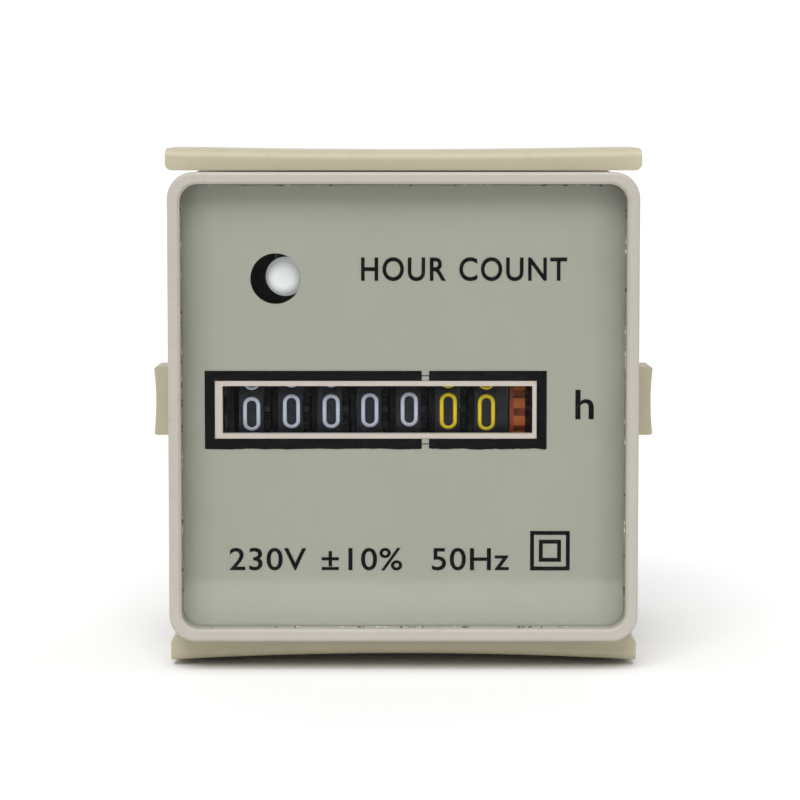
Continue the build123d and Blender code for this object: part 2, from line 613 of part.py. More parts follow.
def make_indicator_wheel():
    """The bright slotted ring beside the hundredths wheel, with the gear that turns both."""
    x0, x1 = INDICATOR_X0, INDICATOR_X1
    ring = rod_x(INDICATOR_RADIUS, (x0, x1), WHEEL_AXIS)
    pitch = 2 * math.pi / INDICATOR_SLOTS
    slot_half = INDICATOR_SLOT_SHARE * pitch * INDICATOR_RADIUS / 2
    slots = []
    for number in range(INDICATOR_SLOTS):
        slot = Rot(0, 0, math.degrees(number * pitch) + INDICATOR_SLOT_TURN) * Pos(INDICATOR_RADIUS, 0) * Rectangle(
            2 * INDICATOR_SLOT_DEPTH, 2 * slot_half
        )
        slots.append(Pos(*WHEEL_AXIS) * slot)
    ring -= [facing_x(slot, (x0 + INDICATOR_FLANGE, x1 + 1)) for slot in slots]
    outline = gear_outline(
        INDICATOR_MODULE, INDICATOR_GEAR_TEETH, OUTPUT_PINION_TEETH, INDICATOR_GEAR_PHASE
    )
    ring += facing_x(Pos(*WHEEL_AXIS) * outline, INDICATOR_GEAR_X)
    hub = rod_x(WHEEL_SHAFT * 3, (x0 - SKIRT_GAP, x0), WHEEL_AXIS)
    return ring + hub - rod_x(WHEEL_SHAFT + WHEEL_PLAY, (x0 - 3, x1 + 3), WHEEL_AXIS)


def make_wheel_shaft():
    """Steel shaft of the number wheels."""
    return rod_x(WHEEL_SHAFT, (END_PLATE_X[0] - 0.7, INNER_PLATE_X[1]), WHEEL_AXIS)


def make_carry_shaft():
    """Steel shaft of the carry pinions."""
    return rod_x(CARRY_SHAFT, (END_PLATE_X[0] - 0.7, INNER_PLATE_X[1]), CARRY_AXIS)


def make_end_plate():
    """Steel plate at the left end of the counter."""
    low = PLATE_LOW
    corners = Polyline(
        (1.2, low), (16.0, low), (16.0, BOARD_Z), (10.0, BOARD_Z), (1.2, 9.5), close=True
    )
    plate = facing_x(make_face(corners), END_PLATE_X)
    holes = [(WHEEL_SHAFT, WHEEL_AXIS), (CARRY_SHAFT, CARRY_AXIS)]
    holes += [(TIE_BAR * 0.6, axis) for axis in TIE_BARS]
    for radius, axis in holes:
        plate -= rod_x(radius, (END_PLATE_X[0] - 1, END_PLATE_X[1] + 1), axis)
    return plate


def make_tie_bars():
    """Two spacer bars that join the end plate to the inner plate, with riveted ends."""
    bars = []
    for axis in TIE_BARS:
        bar = rod_x(TIE_BAR, (END_PLATE_X[1], INNER_PLATE_X[0]), axis)
        bar += rod_x(TIE_BAR * 0.6, (END_PLATE_X[0] - 0.3, INNER_PLATE_X[1] + 0.3), axis)
        bars.append(bar)
    return bars


def make_shaft_clips():
    """Retaining rings on the left ends of the two shafts."""
    clips = []
    for radius, axis in ((WHEEL_SHAFT, WHEEL_AXIS), (CARRY_SHAFT, CARRY_AXIS)):
        x = (END_PLATE_X[0] - CLIP_THICKNESS, END_PLATE_X[0])
        ring = rod_x(SHAFT_CLIP, x, axis) - rod_x(radius, x, axis)
        mouth = facing_x(Pos(axis[0] + SHAFT_CLIP, axis[1]) * Rectangle(2 * SHAFT_CLIP, radius * 1.4), x)
        clips.append(ring - mouth)
    return clips


# ================================================================ gear train
def layer(number):
    """The (low, high) x of a layer of the train; 0 lies next to the inner plate."""
    low = INNER_PLATE_X[1] + LAYER_START + number * LAYER_PITCH
    return low, low + GEAR_WIDTH


def wheel_blank(module, teeth, other_teeth, phase, x, axis):
    """A gear wheel with a thinned web."""
    wheel = facing_x(Pos(*axis) * gear_outline(module, teeth, other_teeth, phase), x)
    rim = module * teeth / 2 - module * 1.5 - WEB_RIM
    cut = (GEAR_WIDTH - WEB_THICKNESS) / 2
    for low, high in ((x[0] - 1, x[0] + cut), (x[1] - cut, x[1] + 1)):
        wheel -= rod_x(rim, (low, high), axis) - rod_x(WEB_HUB, (low, high), axis)
    return wheel


OUTPUT_PINION_PHASE = mesh_phase(
    INDICATOR_GEAR_PHASE, INDICATOR_GEAR_TEETH, OUTPUT_PINION_TEETH, TRAIN_ANGLES[0]
)


def make_gear_4():
    """The wheel next to the counter; its tube carries the output pinion through the inner plate."""
    x = layer(0)
    wheel = wheel_blank(TRAIN_MODULE, WHEEL_TEETH, PINION_TEETH, 0, x, AXIS_4)
    wheel += rod_x(OUTPUT_HUB, (INDICATOR_GEAR_X[0] + 0.05, x[0]), AXIS_4)
    wheel += rod_x(HUB, (x[1], OUTER_PLATE_X[0] - HUB_END_PLAY), AXIS_4)
    return wheel - rod_x(ARBOR + ARBOR_PLAY, (INDICATOR_X0, OUTER_PLATE_X[0]), AXIS_4)


def make_output_pinion():
    """The pinion that turns the indicator wheel, pressed on gear 4's tube."""
    outline = gear_outline(
        INDICATOR_MODULE, OUTPUT_PINION_TEETH, INDICATOR_GEAR_TEETH, OUTPUT_PINION_PHASE
    )
    x = (INDICATOR_GEAR_X[0] + 0.1, INDICATOR_GEAR_X[1])
    pinion = facing_x(Pos(*AXIS_4) * outline, x)
    return pinion - rod_x(OUTPUT_HUB, (x[0] - 1, x[1] + 1), AXIS_4)


CLUTCH_PINION_PHASE = mesh_phase(0, WHEEL_TEETH, PINION_TEETH, TRAIN_ANGLES[1])


def make_clutch_pinion():
    """The pinion that drives gear 4. Friction against gear 3 turns it."""
    x = (INNER_PLATE_X[1] + HUB_END_PLAY, layer(1)[0] - CLUTCH_SPRING)
    outline = gear_outline(TRAIN_MODULE, PINION_TEETH, WHEEL_TEETH, CLUTCH_PINION_PHASE)
    pinion = facing_x(Pos(*AXIS_3) * outline, x)
    return pinion - rod_x(ARBOR + ARBOR_PLAY, (x[0] - 1, x[1] + 1), AXIS_3)


def make_clutch_spring():
    """Thin spring washer between the clutch pinion and gear 3."""
    x = (layer(1)[0] - CLUTCH_SPRING, layer(1)[0])
    return rod_x(WEB_HUB * 0.8, x, AXIS_3) - rod_x(ARBOR + 0.2, (x[0] - 1, x[1] + 1), AXIS_3)


def make_gear(number):
    """Gear 1, 2 or 3: a wheel in its own layer, and for 1 and 2 the pinion in the next one."""
    axis = {1: AXIS_1, 2: AXIS_2, 3: AXIS_3}[number]
    x = layer(4 - number)
    if number == 1:
        wheel = wheel_blank(FIRST_MODULE, FIRST_WHEEL_TEETH, PINION_TEETH, 0, x, axis)
    else:
        wheel = wheel_blank(TRAIN_MODULE, WHEEL_TEETH, PINION_TEETH, 0, x, axis)
    if number < 3:
        # the pinion meshes with the wheel one step nearer the counter
        toward = TRAIN_ANGLES[4 - number]
        phase = mesh_phase(0, WHEEL_TEETH, PINION_TEETH, toward)
        outline = gear_outline(TRAIN_MODULE, PINION_TEETH, WHEEL_TEETH, phase)
        wheel += facing_x(Pos(*axis) * outline, (layer(3 - number)[0], x[0]))
        wheel += rod_x(HUB, (INNER_PLATE_X[1] + HUB_END_PLAY, layer(3 - number)[0]), axis)
    wheel += rod_x(HUB, (x[1], OUTER_PLATE_X[0] - HUB_END_PLAY), axis)
    return wheel - rod_x(ARBOR + ARBOR_PLAY, (INNER_PLATE_X[1], OUTER_PLATE_X[0]), axis)


def make_arbors():
    """The four fixed pins on which the gears turn."""
    pins = [rod_x(ARBOR, (INNER_PLATE_X[0], OUTER_PLATE_X[1]), axis) for axis in (AXIS_1, AXIS_2, AXIS_3)]
    pins.append(rod_x(ARBOR, (INDICATOR_GEAR_X[0] + 0.05, OUTER_PLATE_X[1]), AXIS_4))
    return pins


def make_inner_plate():
    """Large steel plate between the counter and the gear train; it carries the motor as well."""
    low = PLATE_LOW
    corners = Polyline(
        (1.2, low), (PLATE_REAR, low), (PLATE_REAR, BOARD_Z), (10.0, BOARD_Z), (1.2, 9.5), close=True
    )
    plate = facing_x(make_face(corners), INNER_PLATE_X)
    holes = [(WHEEL_SHAFT, WHEEL_AXIS), (CARRY_SHAFT, CARRY_AXIS), (OUTPUT_HUB + OUTPUT_HUB_PLAY, AXIS_4)]
    holes += [(ARBOR, axis) for axis in (AXIS_1, AXIS_2, AXIS_3)]
    holes += [(TIE_BAR * 0.6, axis) for axis in TIE_BARS]
    holes += [(PILLAR_SCREW, axis) for axis in PILLARS]
    holes += [(RIVET, step(MOTOR_AXIS, EAR_DISTANCE, angle)) for angle in EAR_ANGLES]
    holes += [(BUSH + 0.2, MOTOR_AXIS)]
    for radius, axis in holes:
        plate -= rod_x(radius, (INNER_PLATE_X[0] - 1, INNER_PLATE_X[1] + 1), axis)
    return plate


def make_outer_plate():
    """Steel plate that closes the gear train."""
    corners = Polyline(
        (9.6, -8.5), (22.0, -12.8), (33.0, -12.8), (36.2, -9.0), (36.2, 14.6), (9.6, 14.6), close=True
    )
    plate = facing_x(make_face(corners), OUTER_PLATE_X)
    holes = [(ARBOR, axis) for axis in (AXIS_1, AXIS_2, AXIS_3, AXIS_4)]
    holes += [(PILLAR_SCREW, axis) for axis in PILLARS]
    holes += [(ROTOR_SHAFT + ARBOR_PLAY, MOTOR_AXIS)]
    for radius, axis in holes:
        plate -= rod_x(radius, (OUTER_PLATE_X[0] - 1, OUTER_PLATE_X[1] + 1), axis)
    return plate


def make_pillars():
    """Four spacer pillars, riveted in the inner plate and tapped for the outer plate's screws."""
    pillars = []
    for axis in PILLARS:
        pillar = rod_x(PILLAR, (INNER_PLATE_X[1], OUTER_PLATE_X[0]), axis)
        pillar += rod_x(PILLAR_SCREW, INNER_PLATE_X, axis)
        pillars.append(pillar - rod_x(PILLAR_SCREW, (OUTER_PLATE_X[0] - 3.0, OUTER_PLATE_X[1]), axis))
    return pillars


def make_plate_screws():
    """Four small screws that hold the outer plate on the pillars."""
    screws = []
    head_x = OUTER_PLATE_X[1]
    room = BODY_INSIDE / 2 - head_x - 0.1
    height = min(0.5, room)
    for axis in PILLARS:
        screw = rod_x(PILLAR_SCREW, (OUTER_PLATE_X[0] - 2.6, head_x), axis)
        screw += rod_x(PILLAR_SCREW * 2, (head_x, head_x + height), axis)
        slot = Pos(*axis) * Rectangle(PILLAR_SCREW * 5, PILLAR_SCREW * 0.4)
        screws.append(screw - facing_x(slot, (head_x + height / 2, head_x + height + 1)))
    return screws


# ================================================================ motor
MOTOR_X = (INNER_PLATE_X[0] - MOTOR_LENGTH, INNER_PLATE_X[0])


def claws(x, offset_degrees):
    """The pole fingers of one plate, along X between x[0] and x[1]."""
    fingers = []
    for number in range(CLAW_COUNT):
        turn = Rot(0, 0, number * 360 / CLAW_COUNT + offset_degrees)
        finger = Pos(*MOTOR_AXIS) * turn * Pos(CLAW_RADIUS + CLAW_THICKNESS / 2, 0) * Rectangle(
            CLAW_THICKNESS, CLAW_WIDTH
        )
        fingers.append(facing_x(finger, x))
    return fingers


def make_motor_can():
    """Deep-drawn steel can of the motor, with twelve pole fingers from its bottom and a shaft bush's hole."""
    can = rod_x(CAN_RADIUS, (MOTOR_X[0], MOTOR_X[1] - CAN_WALL), MOTOR_AXIS)
    can = fillet(can.edges().sort_by(Axis.X)[0], CAN_WALL)
    can -= rod_x(CAN_RADIUS - CAN_WALL, (MOTOR_X[0] + CAN_WALL, MOTOR_X[1]), MOTOR_AXIS)
    start = MOTOR_X[0] + CAN_WALL
    can += claws((start, start + CLAW_LENGTH), 0)
    notch_z = (MOTOR_AXIS[1], MOTOR_AXIS[1] + CAN_RADIUS + 1)
    can -= block((WIRE_X[0] - 1, WIRE_X[1] + 1), (MOTOR_AXIS[0] - 1.5, MOTOR_AXIS[0] + 1.5), (notch_z[1] - 3, notch_z[1]))
    return can - rod_x(BUSH, (MOTOR_X[0] - 1, start), MOTOR_AXIS)


def make_pole_plate():
    """Flat steel plate that closes the motor, with the other twelve fingers and two ears for its rivets."""
    x = (MOTOR_X[1] - CAN_WALL, MOTOR_X[1])
    plate = rod_x(CAN_RADIUS, x, MOTOR_AXIS)
    for angle in EAR_ANGLES:
        ear = step(MOTOR_AXIS, EAR_DISTANCE, angle)
        middle = step(MOTOR_AXIS, EAR_DISTANCE / 2, angle)
        arm = Pos(*middle) * Rot(0, 0, angle) * Rectangle(EAR_DISTANCE, 2 * EAR_RADIUS)
        plate += facing_x(arm, x) + rod_x(EAR_RADIUS, x, ear)
    for angle in EAR_ANGLES:
        plate -= rod_x(RIVET, (x[0] - 1, x[1] + 1), step(MOTOR_AXIS, EAR_DISTANCE, angle))
    plate += claws((x[0] - CLAW_LENGTH, x[0]), 180 / CLAW_COUNT)
    return plate - rod_x(BUSH, (x[0] - 1, x[1] + 1), MOTOR_AXIS)


def make_motor_bushes():
    """Two brass bushes in which the rotor's shaft turns."""
    bushes = []
    for x in ((MOTOR_X[0] - 0.5, MOTOR_X[0] + CAN_WALL + 0.6), (MOTOR_X[1] - CAN_WALL - 0.6, MOTOR_X[1] + 0.3)):
        bushes.append(rod_x(BUSH, x, MOTOR_AXIS) - rod_x(ROTOR_SHAFT + ARBOR_PLAY, x, MOTOR_AXIS))
    return bushes


BOBBIN_X = (MOTOR_X[0] + CAN_WALL + 0.1, MOTOR_X[1] - CAN_WALL - 0.1)


def make_coil_bobbin():
    """Plastic bobbin of the coil, with a block for the two lead wires."""
    low, high = BOBBIN_X
    bobbin = rod_x(BOBBIN_INNER + BOBBIN_WALL, BOBBIN_X, MOTOR_AXIS)
    for flange in ((low, low + 0.6), (high - 0.6, high)):
        bobbin += rod_x(BOBBIN_FLANGE, flange, MOTOR_AXIS)
    return bobbin - rod_x(BOBBIN_INNER, (low - 1, high + 1), MOTOR_AXIS)


def make_coil_winding():
    """The wound copper between the bobbin's flanges."""
    x = (BOBBIN_X[0] + 0.6, BOBBIN_X[1] - 0.6)
    return rod_x(COIL_RADIUS, x, MOTOR_AXIS) - rod_x(BOBBIN_INNER + BOBBIN_WALL, x, MOTOR_AXIS)


MAGNET_MIDDLE = (MOTOR_X[0] + MOTOR_X[1]) / 2
MAGNET_X = (MAGNET_MIDDLE - MAGNET_LENGTH / 2, MAGNET_MIDDLE + MAGNET_LENGTH / 2)


def make_rotor_magnet():
    """Ring magnet of the rotor."""
    return rod_x(MAGNET_RADIUS, MAGNET_X, MOTOR_AXIS) - rod_x(MAGNET_BORE, MAGNET_X, MOTOR_AXIS)


def make_rotor_hub():
    """Plastic hub between the magnet and the shaft."""
    x = (MAGNET_X[0] - 0.4, MAGNET_X[1] + 0.4)
    return rod_x(MAGNET_BORE, x, MOTOR_AXIS) - rod_x(ROTOR_SHAFT, x, MOTOR_AXIS)


def make_rotor_shaft():
    """Steel shaft from the can's bush through the train to the outer plate."""
    return rod_x(ROTOR_SHAFT, (MOTOR_X[0] - 0.9, OUTER_PLATE_X[1]), MOTOR_AXIS)


def make_rotor_pinion():
    """The first pinion of the train."""
    phase = mesh_phase(0, FIRST_WHEEL_TEETH, PINION_TEETH, TRAIN_ANGLES[4])
    outline = gear_outline(FIRST_MODULE, PINION_TEETH, FIRST_WHEEL_TEETH, phase)
    x = (layer(3)[0] - 0.5, layer(3)[1] + 0.1)
    return facing_x(Pos(*MOTOR_AXIS) * outline, x) - rod_x(ROTOR_SHAFT, x, MOTOR_AXIS)


def make_motor_rivets():
    """Two rivets that hold the motor to the inner plate."""
    rivets = []
    for angle in EAR_ANGLES:
        axis = step(MOTOR_AXIS, EAR_DISTANCE, angle)
        rivet = rod_x(RIVET, (MOTOR_X[1] - CAN_WALL, INNER_PLATE_X[1]), axis)
        rivet += rod_x(RIVET * 1.7, (MOTOR_X[1] - CAN_WALL - 0.4, MOTOR_X[1] - CAN_WALL), axis)
        rivet += rod_x(RIVET * 1.6, (INNER_PLATE_X[1], INNER_PLATE_X[1] + 0.25), axis)
        rivets.append(rivet)
    return rivets


# ================================================================ circuit board and lamp
BOARD_TOP = BOARD_Z + BOARD_THICKNESS
LEAD_HOLE_Y = BOARD_Y[0] + 2.0
RESISTOR_PLACES = ((-9.0, 17.0), (-9.0, 21.0))
DIODE_PLACE = (-9.0, 26.5)
CAPACITOR_PLACE = (4.0, 20.0)


def make_circuit_board():
    """Board that carries the lamp, the small parts and the blades' tails."""
    board = block(BOARD_X, BOARD_Y, (BOARD_Z, BOARD_TOP))
    board -= [facing_z(Pos(*hole) * Circle(LAMP_LEAD), (BOARD_Z - 1, BOARD_TOP + 1)) for hole in lamp_lead_holes()]
    board -= [facing_z(Pos(*hole) * Circle(WIRE), (BOARD_Z - 1, BOARD_TOP + 1)) for hole in wire_holes()]
    return board


def lamp_lead_holes():
    """Where the lamp's two leads go through the board, as (x, y)."""
    return [(LAMP_CENTRE_X + side * LAMP_LEAD_PITCH / 2, LEAD_HOLE_Y) for side in (-1, 1)]


def wire_holes():
    """Where the motor's two lead wires go through the board, as (x, y)."""
    return [(x, MOTOR_AXIS[0]) for x in WIRE_X]


def make_run_lamp():
    """Milky lamp body behind the hole in the dial, with a domed end and a rim at its base."""
    axis = (LAMP_CENTRE_X, LAMP_Z)
    straight = LAMP_TIP_Y + LAMP_RADIUS * 0.5
    base = LAMP_TIP_Y + LAMP_LENGTH
    body = rod_y(LAMP_RADIUS, (LAMP_TIP_Y, base), axis)
    body = fillet(body.edges().sort_by(Axis.Y)[0], straight - LAMP_TIP_Y)
    return body + rod_y(LAMP_RIM, (base - LAMP_RIM_LENGTH, base), axis)


def make_lamp_leads():
    """Two tinned leads from the lamp's base, bent up into the board."""
    leads = []
    base = LAMP_TIP_Y + LAMP_LENGTH
    for x, y in lamp_lead_holes():
        bend = 1.0
        path = FilletPolyline((x, base, LAMP_Z), (x, y, LAMP_Z), (x, y, BOARD_TOP + 0.6), radius=bend)
        leads.append(sweep(Plane((x, base, LAMP_Z), z_dir=(0, 1, 0)) * Circle(LAMP_LEAD), path=path))
    return leads


def axial_part(radius, length, place):
    """A component that lies on the board along X."""
    x, y = place
    centre = (y, BOARD_TOP + radius)
    part = rod_x(radius, (x - length / 2, x + length / 2), centre)
    return fillet(part.edges(), radius * 0.3)


def make_resistors():
    """Two film resistors."""
    return [axial_part(*RESISTOR, place) for place in RESISTOR_PLACES]


def make_diode():
    """Rectifier of the lamp's supply."""
    return axial_part(*DIODE, DIODE_PLACE)


def make_component_leads():
    """The bent leads of the resistors and the diode."""
    leads = []
    for (radius, length), place in [(RESISTOR, p) for p in RESISTOR_PLACES] + [(DIODE, DIODE_PLACE)]:
        x, y = place
        z = BOARD_TOP + radius
        for side in (-1, 1):
            start = x + side * length / 2
            out = rod_x(COMPONENT_LEAD, sorted((start, start + side * 1.2)), (y, z))
            down = facing_z(Pos(start + side * 1.2, y) * Circle(COMPONENT_LEAD), (BOARD_TOP, z))
            leads.append(out + down)
    return leads


def make_capacitor():
    """Film capacitor that drops the mains voltage."""
    width, length, height = CAPACITOR
    x, y = CAPACITOR_PLACE
    body = block((x - width / 2, x + width / 2), (y - length / 2, y + length / 2), (BOARD_TOP, BOARD_TOP + height))
    return fillet(body.edges().filter_by(Axis.Z), 0.6)


def make_motor_wires():
    """Two insulated wires from the coil up through the board."""
    wires = []
    for x in WIRE_X:
        bottom = MOTOR_AXIS[1] + COIL_RADIUS
        wires.append(facing_z(Pos(x, MOTOR_AXIS[0]) * Circle(WIRE), (bottom, BOARD_TOP + 0.5)))
    return wires


# ================================================================ clamp frame
def bow_cut(width, outer, depth, y):
    """A solid that hollows an outer face by depth at y[0] and by nothing at y[1], in the +Z direction."""
    radius = (width**2 / 4 + depth**2) / (2 * depth)
    lean = math.degrees(math.atan2(depth, y[1] - y[0]))
    bar = Pos(0, y[0], outer - depth + radius) * Rot(lean, 0, 0) * Rot(90, 0, 0) * Cylinder(radius, 6 * (y[1] - y[0]))
    return bar


def make_flap(width, thickness, bow):
    """A flap above: a thick tongue whose front edge presses on the panel, hollowed along its outer face."""
    outer = FLAP_INNER + thickness
    flap = block((-width / 2, width / 2), (FLAP_FRONT, FRAME_Y[1]), (FLAP_INNER, outer))
    flap = fillet(flap.edges().filter_by(Axis.Y), FLAP_CORNER)
    flap -= bow_cut(width, outer, bow, (FLAP_FRONT, FRAME_Y[1]))
    nose = [edge for edge in flap.edges().group_by(Axis.Y)[0].sort_by(Axis.Z) if edge.length > width / 2][-1]
    return fillet(nose, FLAP_NOSE)


def make_clamp_frame():
    """Collar round the body with a flap above and below, and an opening for each pawl."""
    collar = block((-FRAME_OUTER, FRAME_OUTER), FRAME_Y, (-FLAP_INNER - 0.2, FLAP_INNER + 0.2))
    collar = fillet(collar.edges().filter_by(Axis.Y), FRAME_CORNER)
    frame = collar + make_flap(*UPPER_FLAP) + mirror(make_flap(*LOWER_FLAP), Plane.XY)
    frame -= square_bar(2 * FRAME_INNER, BODY_CORNER, (FRAME_Y[0] - 1, FRAME_Y[1] + 1))
    opening = TAB_HEIGHT / 2 + PAWL_SIDE_GAP
    for side in (-1, 1):
        gap = sorted((side * (FRAME_INNER - 0.5), side * (FRAME_OUTER + 1)))
        frame -= block(gap, (FRAME_Y[0] - 1, PAWL_AXIS[1] - PAWL_SOCKET_LIP), (-opening, opening))
        socket = Pos(side * PAWL_AXIS[0], PAWL_AXIS[1]) * Circle(PAWL_BARREL + PAWL_BARREL_PLAY)
        frame -= facing_z(socket, (-opening, opening))
    return frame


def make_pawl(side):
    """A latch: bead, neck, arm with its finger tab, and the tooth that drops into the rack. side is -1 or 1."""
    half = TAB_HEIGHT / 2
    axis_x, axis_y = PAWL_AXIS
    arm_end = axis_y - PAWL_SOCKET_LIP - PAWL_END_GAP
    arm = block(PAWL_ARM, (TAB_Y[0], arm_end), (-half, half))
    tab = block((PAWL_ARM[0], TAB_OUTER), (TAB_Y[0], min(TAB_Y[1], arm_end)), (-half, half))
    tab = fillet(tab.edges().filter_by(Axis.Y).sort_by(Axis.X)[-2:], 0.35)
    radius = (half**2 + TAB_BOW**2) / (2 * TAB_BOW)
    hollow = Pos(TAB_OUTER - TAB_BOW + radius, 0) * Circle(radius)
    tab -= facing_y(hollow, (TAB_Y[0] - 1, TAB_Y[1] + 1))
    bead = facing_z(Pos(axis_x, axis_y) * Circle(PAWL_BARREL), (-half, half))
    neck = block((axis_x - PAWL_NECK / 2, axis_x + PAWL_NECK / 2), (arm_end - 0.2, axis_y), (-half, half))
    face = PAWL_ARM[0] + 0.1
    tooth = Polyline(
        (face, PAWL_TOOTH_Y),
        (BODY_SIZE / 2 + PAWL_LIFT, PAWL_TOOTH_Y),
        (face, PAWL_TOOTH_Y - PAWL_TOOTH_RAMP),
        close=True,
    )
    pawl = arm + tab + neck + bead
    pawl += facing_z(make_face(tooth), (-PAWL_TOOTH_WIDTH / 2, PAWL_TOOTH_WIDTH / 2))
    return pawl if side > 0 else mirror(pawl, Plane.YZ)


# ================================================================ write every part
def as_group(shapes):
    """Several separate solids as one node."""
    return Compound(children=[s for shape in shapes for s in shape.solids()])


def parts():
    """Every node's name and shape."""
    made = {
        "case_shell": make_case_shell(),
        "front_lens": make_front_lens(),
        "dial_plate": make_dial_plate(),
        "window_surround": make_window_surround(),
        "rear_cover": make_rear_cover(),
        "cover_screws": as_group(make_cover_screws()),
        "terminal_blade_left": make_blade(BLADE_X),
        "terminal_blade_right": make_blade(-BLADE_X),
        "indicator_wheel": make_indicator_wheel(),
        "wheel_shaft": make_wheel_shaft(),
        "carry_shaft": make_carry_shaft(),
        "counter_end_plate": make_end_plate(),
        "counter_tie_bars": as_group(make_tie_bars()),
        "shaft_clips": as_group(make_shaft_clips()),
        "gear_1": make_gear(1),
        "gear_2": make_gear(2),
        "gear_3": make_gear(3),
        "clutch_spring": make_clutch_spring(),
        "clutch_pinion": make_clutch_pinion(),
        "gear_4": make_gear_4(),
        "output_pinion": make_output_pinion(),
        "gear_arbors": as_group(make_arbors()),
        "train_plate_inner": make_inner_plate(),
        "train_plate_outer": make_outer_plate(),
        "plate_pillars": as_group(make_pillars()),
        "plate_screws": as_group(make_plate_screws()),
        "motor_can": make_motor_can(),
        "motor_pole_plate": make_pole_plate(),
        "motor_bushes": as_group(make_motor_bushes()),
        "motor_rivets": as_group(make_motor_rivets()),
        "coil_bobbin": make_coil_bobbin(),
        "coil_winding": make_coil_winding(),
        "rotor_magnet": make_rotor_magnet(),
        "rotor_hub": make_rotor_hub(),
        "rotor_shaft": make_rotor_shaft(),
        "rotor_pinion": make_rotor_pinion(),
        "circuit_board": make_circuit_board(),
        "run_lamp": make_run_lamp(),
        "run_lamp_leads": as_group(make_lamp_leads()),
        "resistors": as_group(make_resistors()),
        "diode": make_diode(),
        "component_leads": as_group(make_component_leads()),
        "capacitor": make_capacitor(),
        "motor_wires": as_group(make_motor_wires()),
        "clamp_frame": make_clamp_frame(),
        "pawl_left": make_pawl(1),
        "pawl_right": make_pawl(-1),
    }
    for number, name in enumerate(WHEEL_NAMES):
        made[f"number_wheel_{name}"] = make_number_wheel(number)
    for number in range(WHEEL_COUNT - 1):
        made[f"carry_pinion_{number + 1}"] = make_carry_pinion(number)
    return made


for node, shape in parts().items():
    export_step(shape, os.path.join(OUT_FOLDER, f"{node}.step"))
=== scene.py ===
"""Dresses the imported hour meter: finishes for the moulded, printed and metal parts, the plate's
print, the wheels' figures and a plain studio to look at them in."""

import bpy
import json
import math
import random
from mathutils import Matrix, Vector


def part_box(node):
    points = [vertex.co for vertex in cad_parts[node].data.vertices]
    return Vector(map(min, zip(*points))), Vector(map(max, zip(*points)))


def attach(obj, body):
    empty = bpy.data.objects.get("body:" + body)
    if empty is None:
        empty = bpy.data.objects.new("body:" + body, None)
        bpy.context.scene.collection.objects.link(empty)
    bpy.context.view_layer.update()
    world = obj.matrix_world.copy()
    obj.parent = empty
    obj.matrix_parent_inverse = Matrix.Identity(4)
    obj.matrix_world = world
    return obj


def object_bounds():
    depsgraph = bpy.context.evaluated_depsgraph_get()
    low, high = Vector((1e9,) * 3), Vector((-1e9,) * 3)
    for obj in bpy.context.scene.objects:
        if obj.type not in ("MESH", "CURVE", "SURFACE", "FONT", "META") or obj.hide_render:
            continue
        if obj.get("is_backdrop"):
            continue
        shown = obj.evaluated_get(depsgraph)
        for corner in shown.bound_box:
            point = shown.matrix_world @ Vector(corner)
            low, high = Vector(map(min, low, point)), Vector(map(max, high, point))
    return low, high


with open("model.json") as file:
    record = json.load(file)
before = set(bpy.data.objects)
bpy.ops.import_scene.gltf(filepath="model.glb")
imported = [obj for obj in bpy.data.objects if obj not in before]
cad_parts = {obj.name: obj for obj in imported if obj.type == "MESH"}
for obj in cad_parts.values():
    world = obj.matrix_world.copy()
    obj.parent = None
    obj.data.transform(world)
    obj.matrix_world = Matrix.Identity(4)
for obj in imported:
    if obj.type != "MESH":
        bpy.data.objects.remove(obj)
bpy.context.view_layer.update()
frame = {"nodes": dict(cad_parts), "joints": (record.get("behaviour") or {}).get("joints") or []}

bl_info = {
    "name": "Hour Meter Dressing",
    "version": (1, 0, 0),
    "blender": (4, 5, 0),
    "location": "3D View > Sidebar > Hour Meter",
    "description": "Finishes, print, figures and studio for a panel-mounted hour meter",
    "category": "Object",
}

MM = 0.001
CUT = 1e-7                      # a cut merges with points nearer than this
ON_EDGE = 10 * CUT              # points nearer than this to an edge's line lie on it
FACING_FRONT = (math.pi / 2, 0, 0)

# number wheels from the right: how far down its zero has turned, in degrees, and how far the print
# sits to the right on its band, in millimetres
WHEELS = {
    "hundredths": (3.8, -0.03),
    "tenths": (2.5, 0.09),
    "units": (1.0, 0.11),
    "tens": (1.8, 0.09),
    "hundreds": (2.7, 0.15),
    "thousands": (2.8, 0.10),
    "ten_thousands": (5.1, 0.04),
}
FRACTION_WHEELS = ("hundredths", "tenths")
CARRY_PINIONS = 6
FIGURES = 10
ROUND_STEPS = 20                # points of a figure's closed ring
STROKE_POINTS = 0.3 * MM        # longest straight piece of a stroke, so that it bends evenly

# indicator wheel, in millimetres: how far its side face is in from its left end, and its gear
# from its right end; the side face and the gear get painted shade
INDICATOR_FACE = 0.1
INDICATOR_GEAR = 0.62

# lettering: gap between words, smoothness of the outlines
WORD_SPACE = 1.25
LETTER_SMOOTHNESS = 6

# band round the window: width of the dash left in its break, and how its lower edge wanders, with
# the points along it, what is kept of the last step and the least and most of a new one
DASH = 0.09 * MM
FRAY_CUTS = 90
FRAY_KEPT = 0.6
FRAY_STEP = (-0.05 * MM, 0.035 * MM)
FRAY_SEED = 7

# double square, as shares of its outer side
INNER_SQUARE = 0.56
SQUARE_LINE = 0.10

# gauze inside the rear cover: a dark sheet that stands in for shade over the vents
GAUZE_X = (-9.2 * MM, 9.2 * MM)
GAUZE_Z = (-9.8 * MM, 5.8 * MM)
GAUZE_THICKNESS = 0.12 * MM

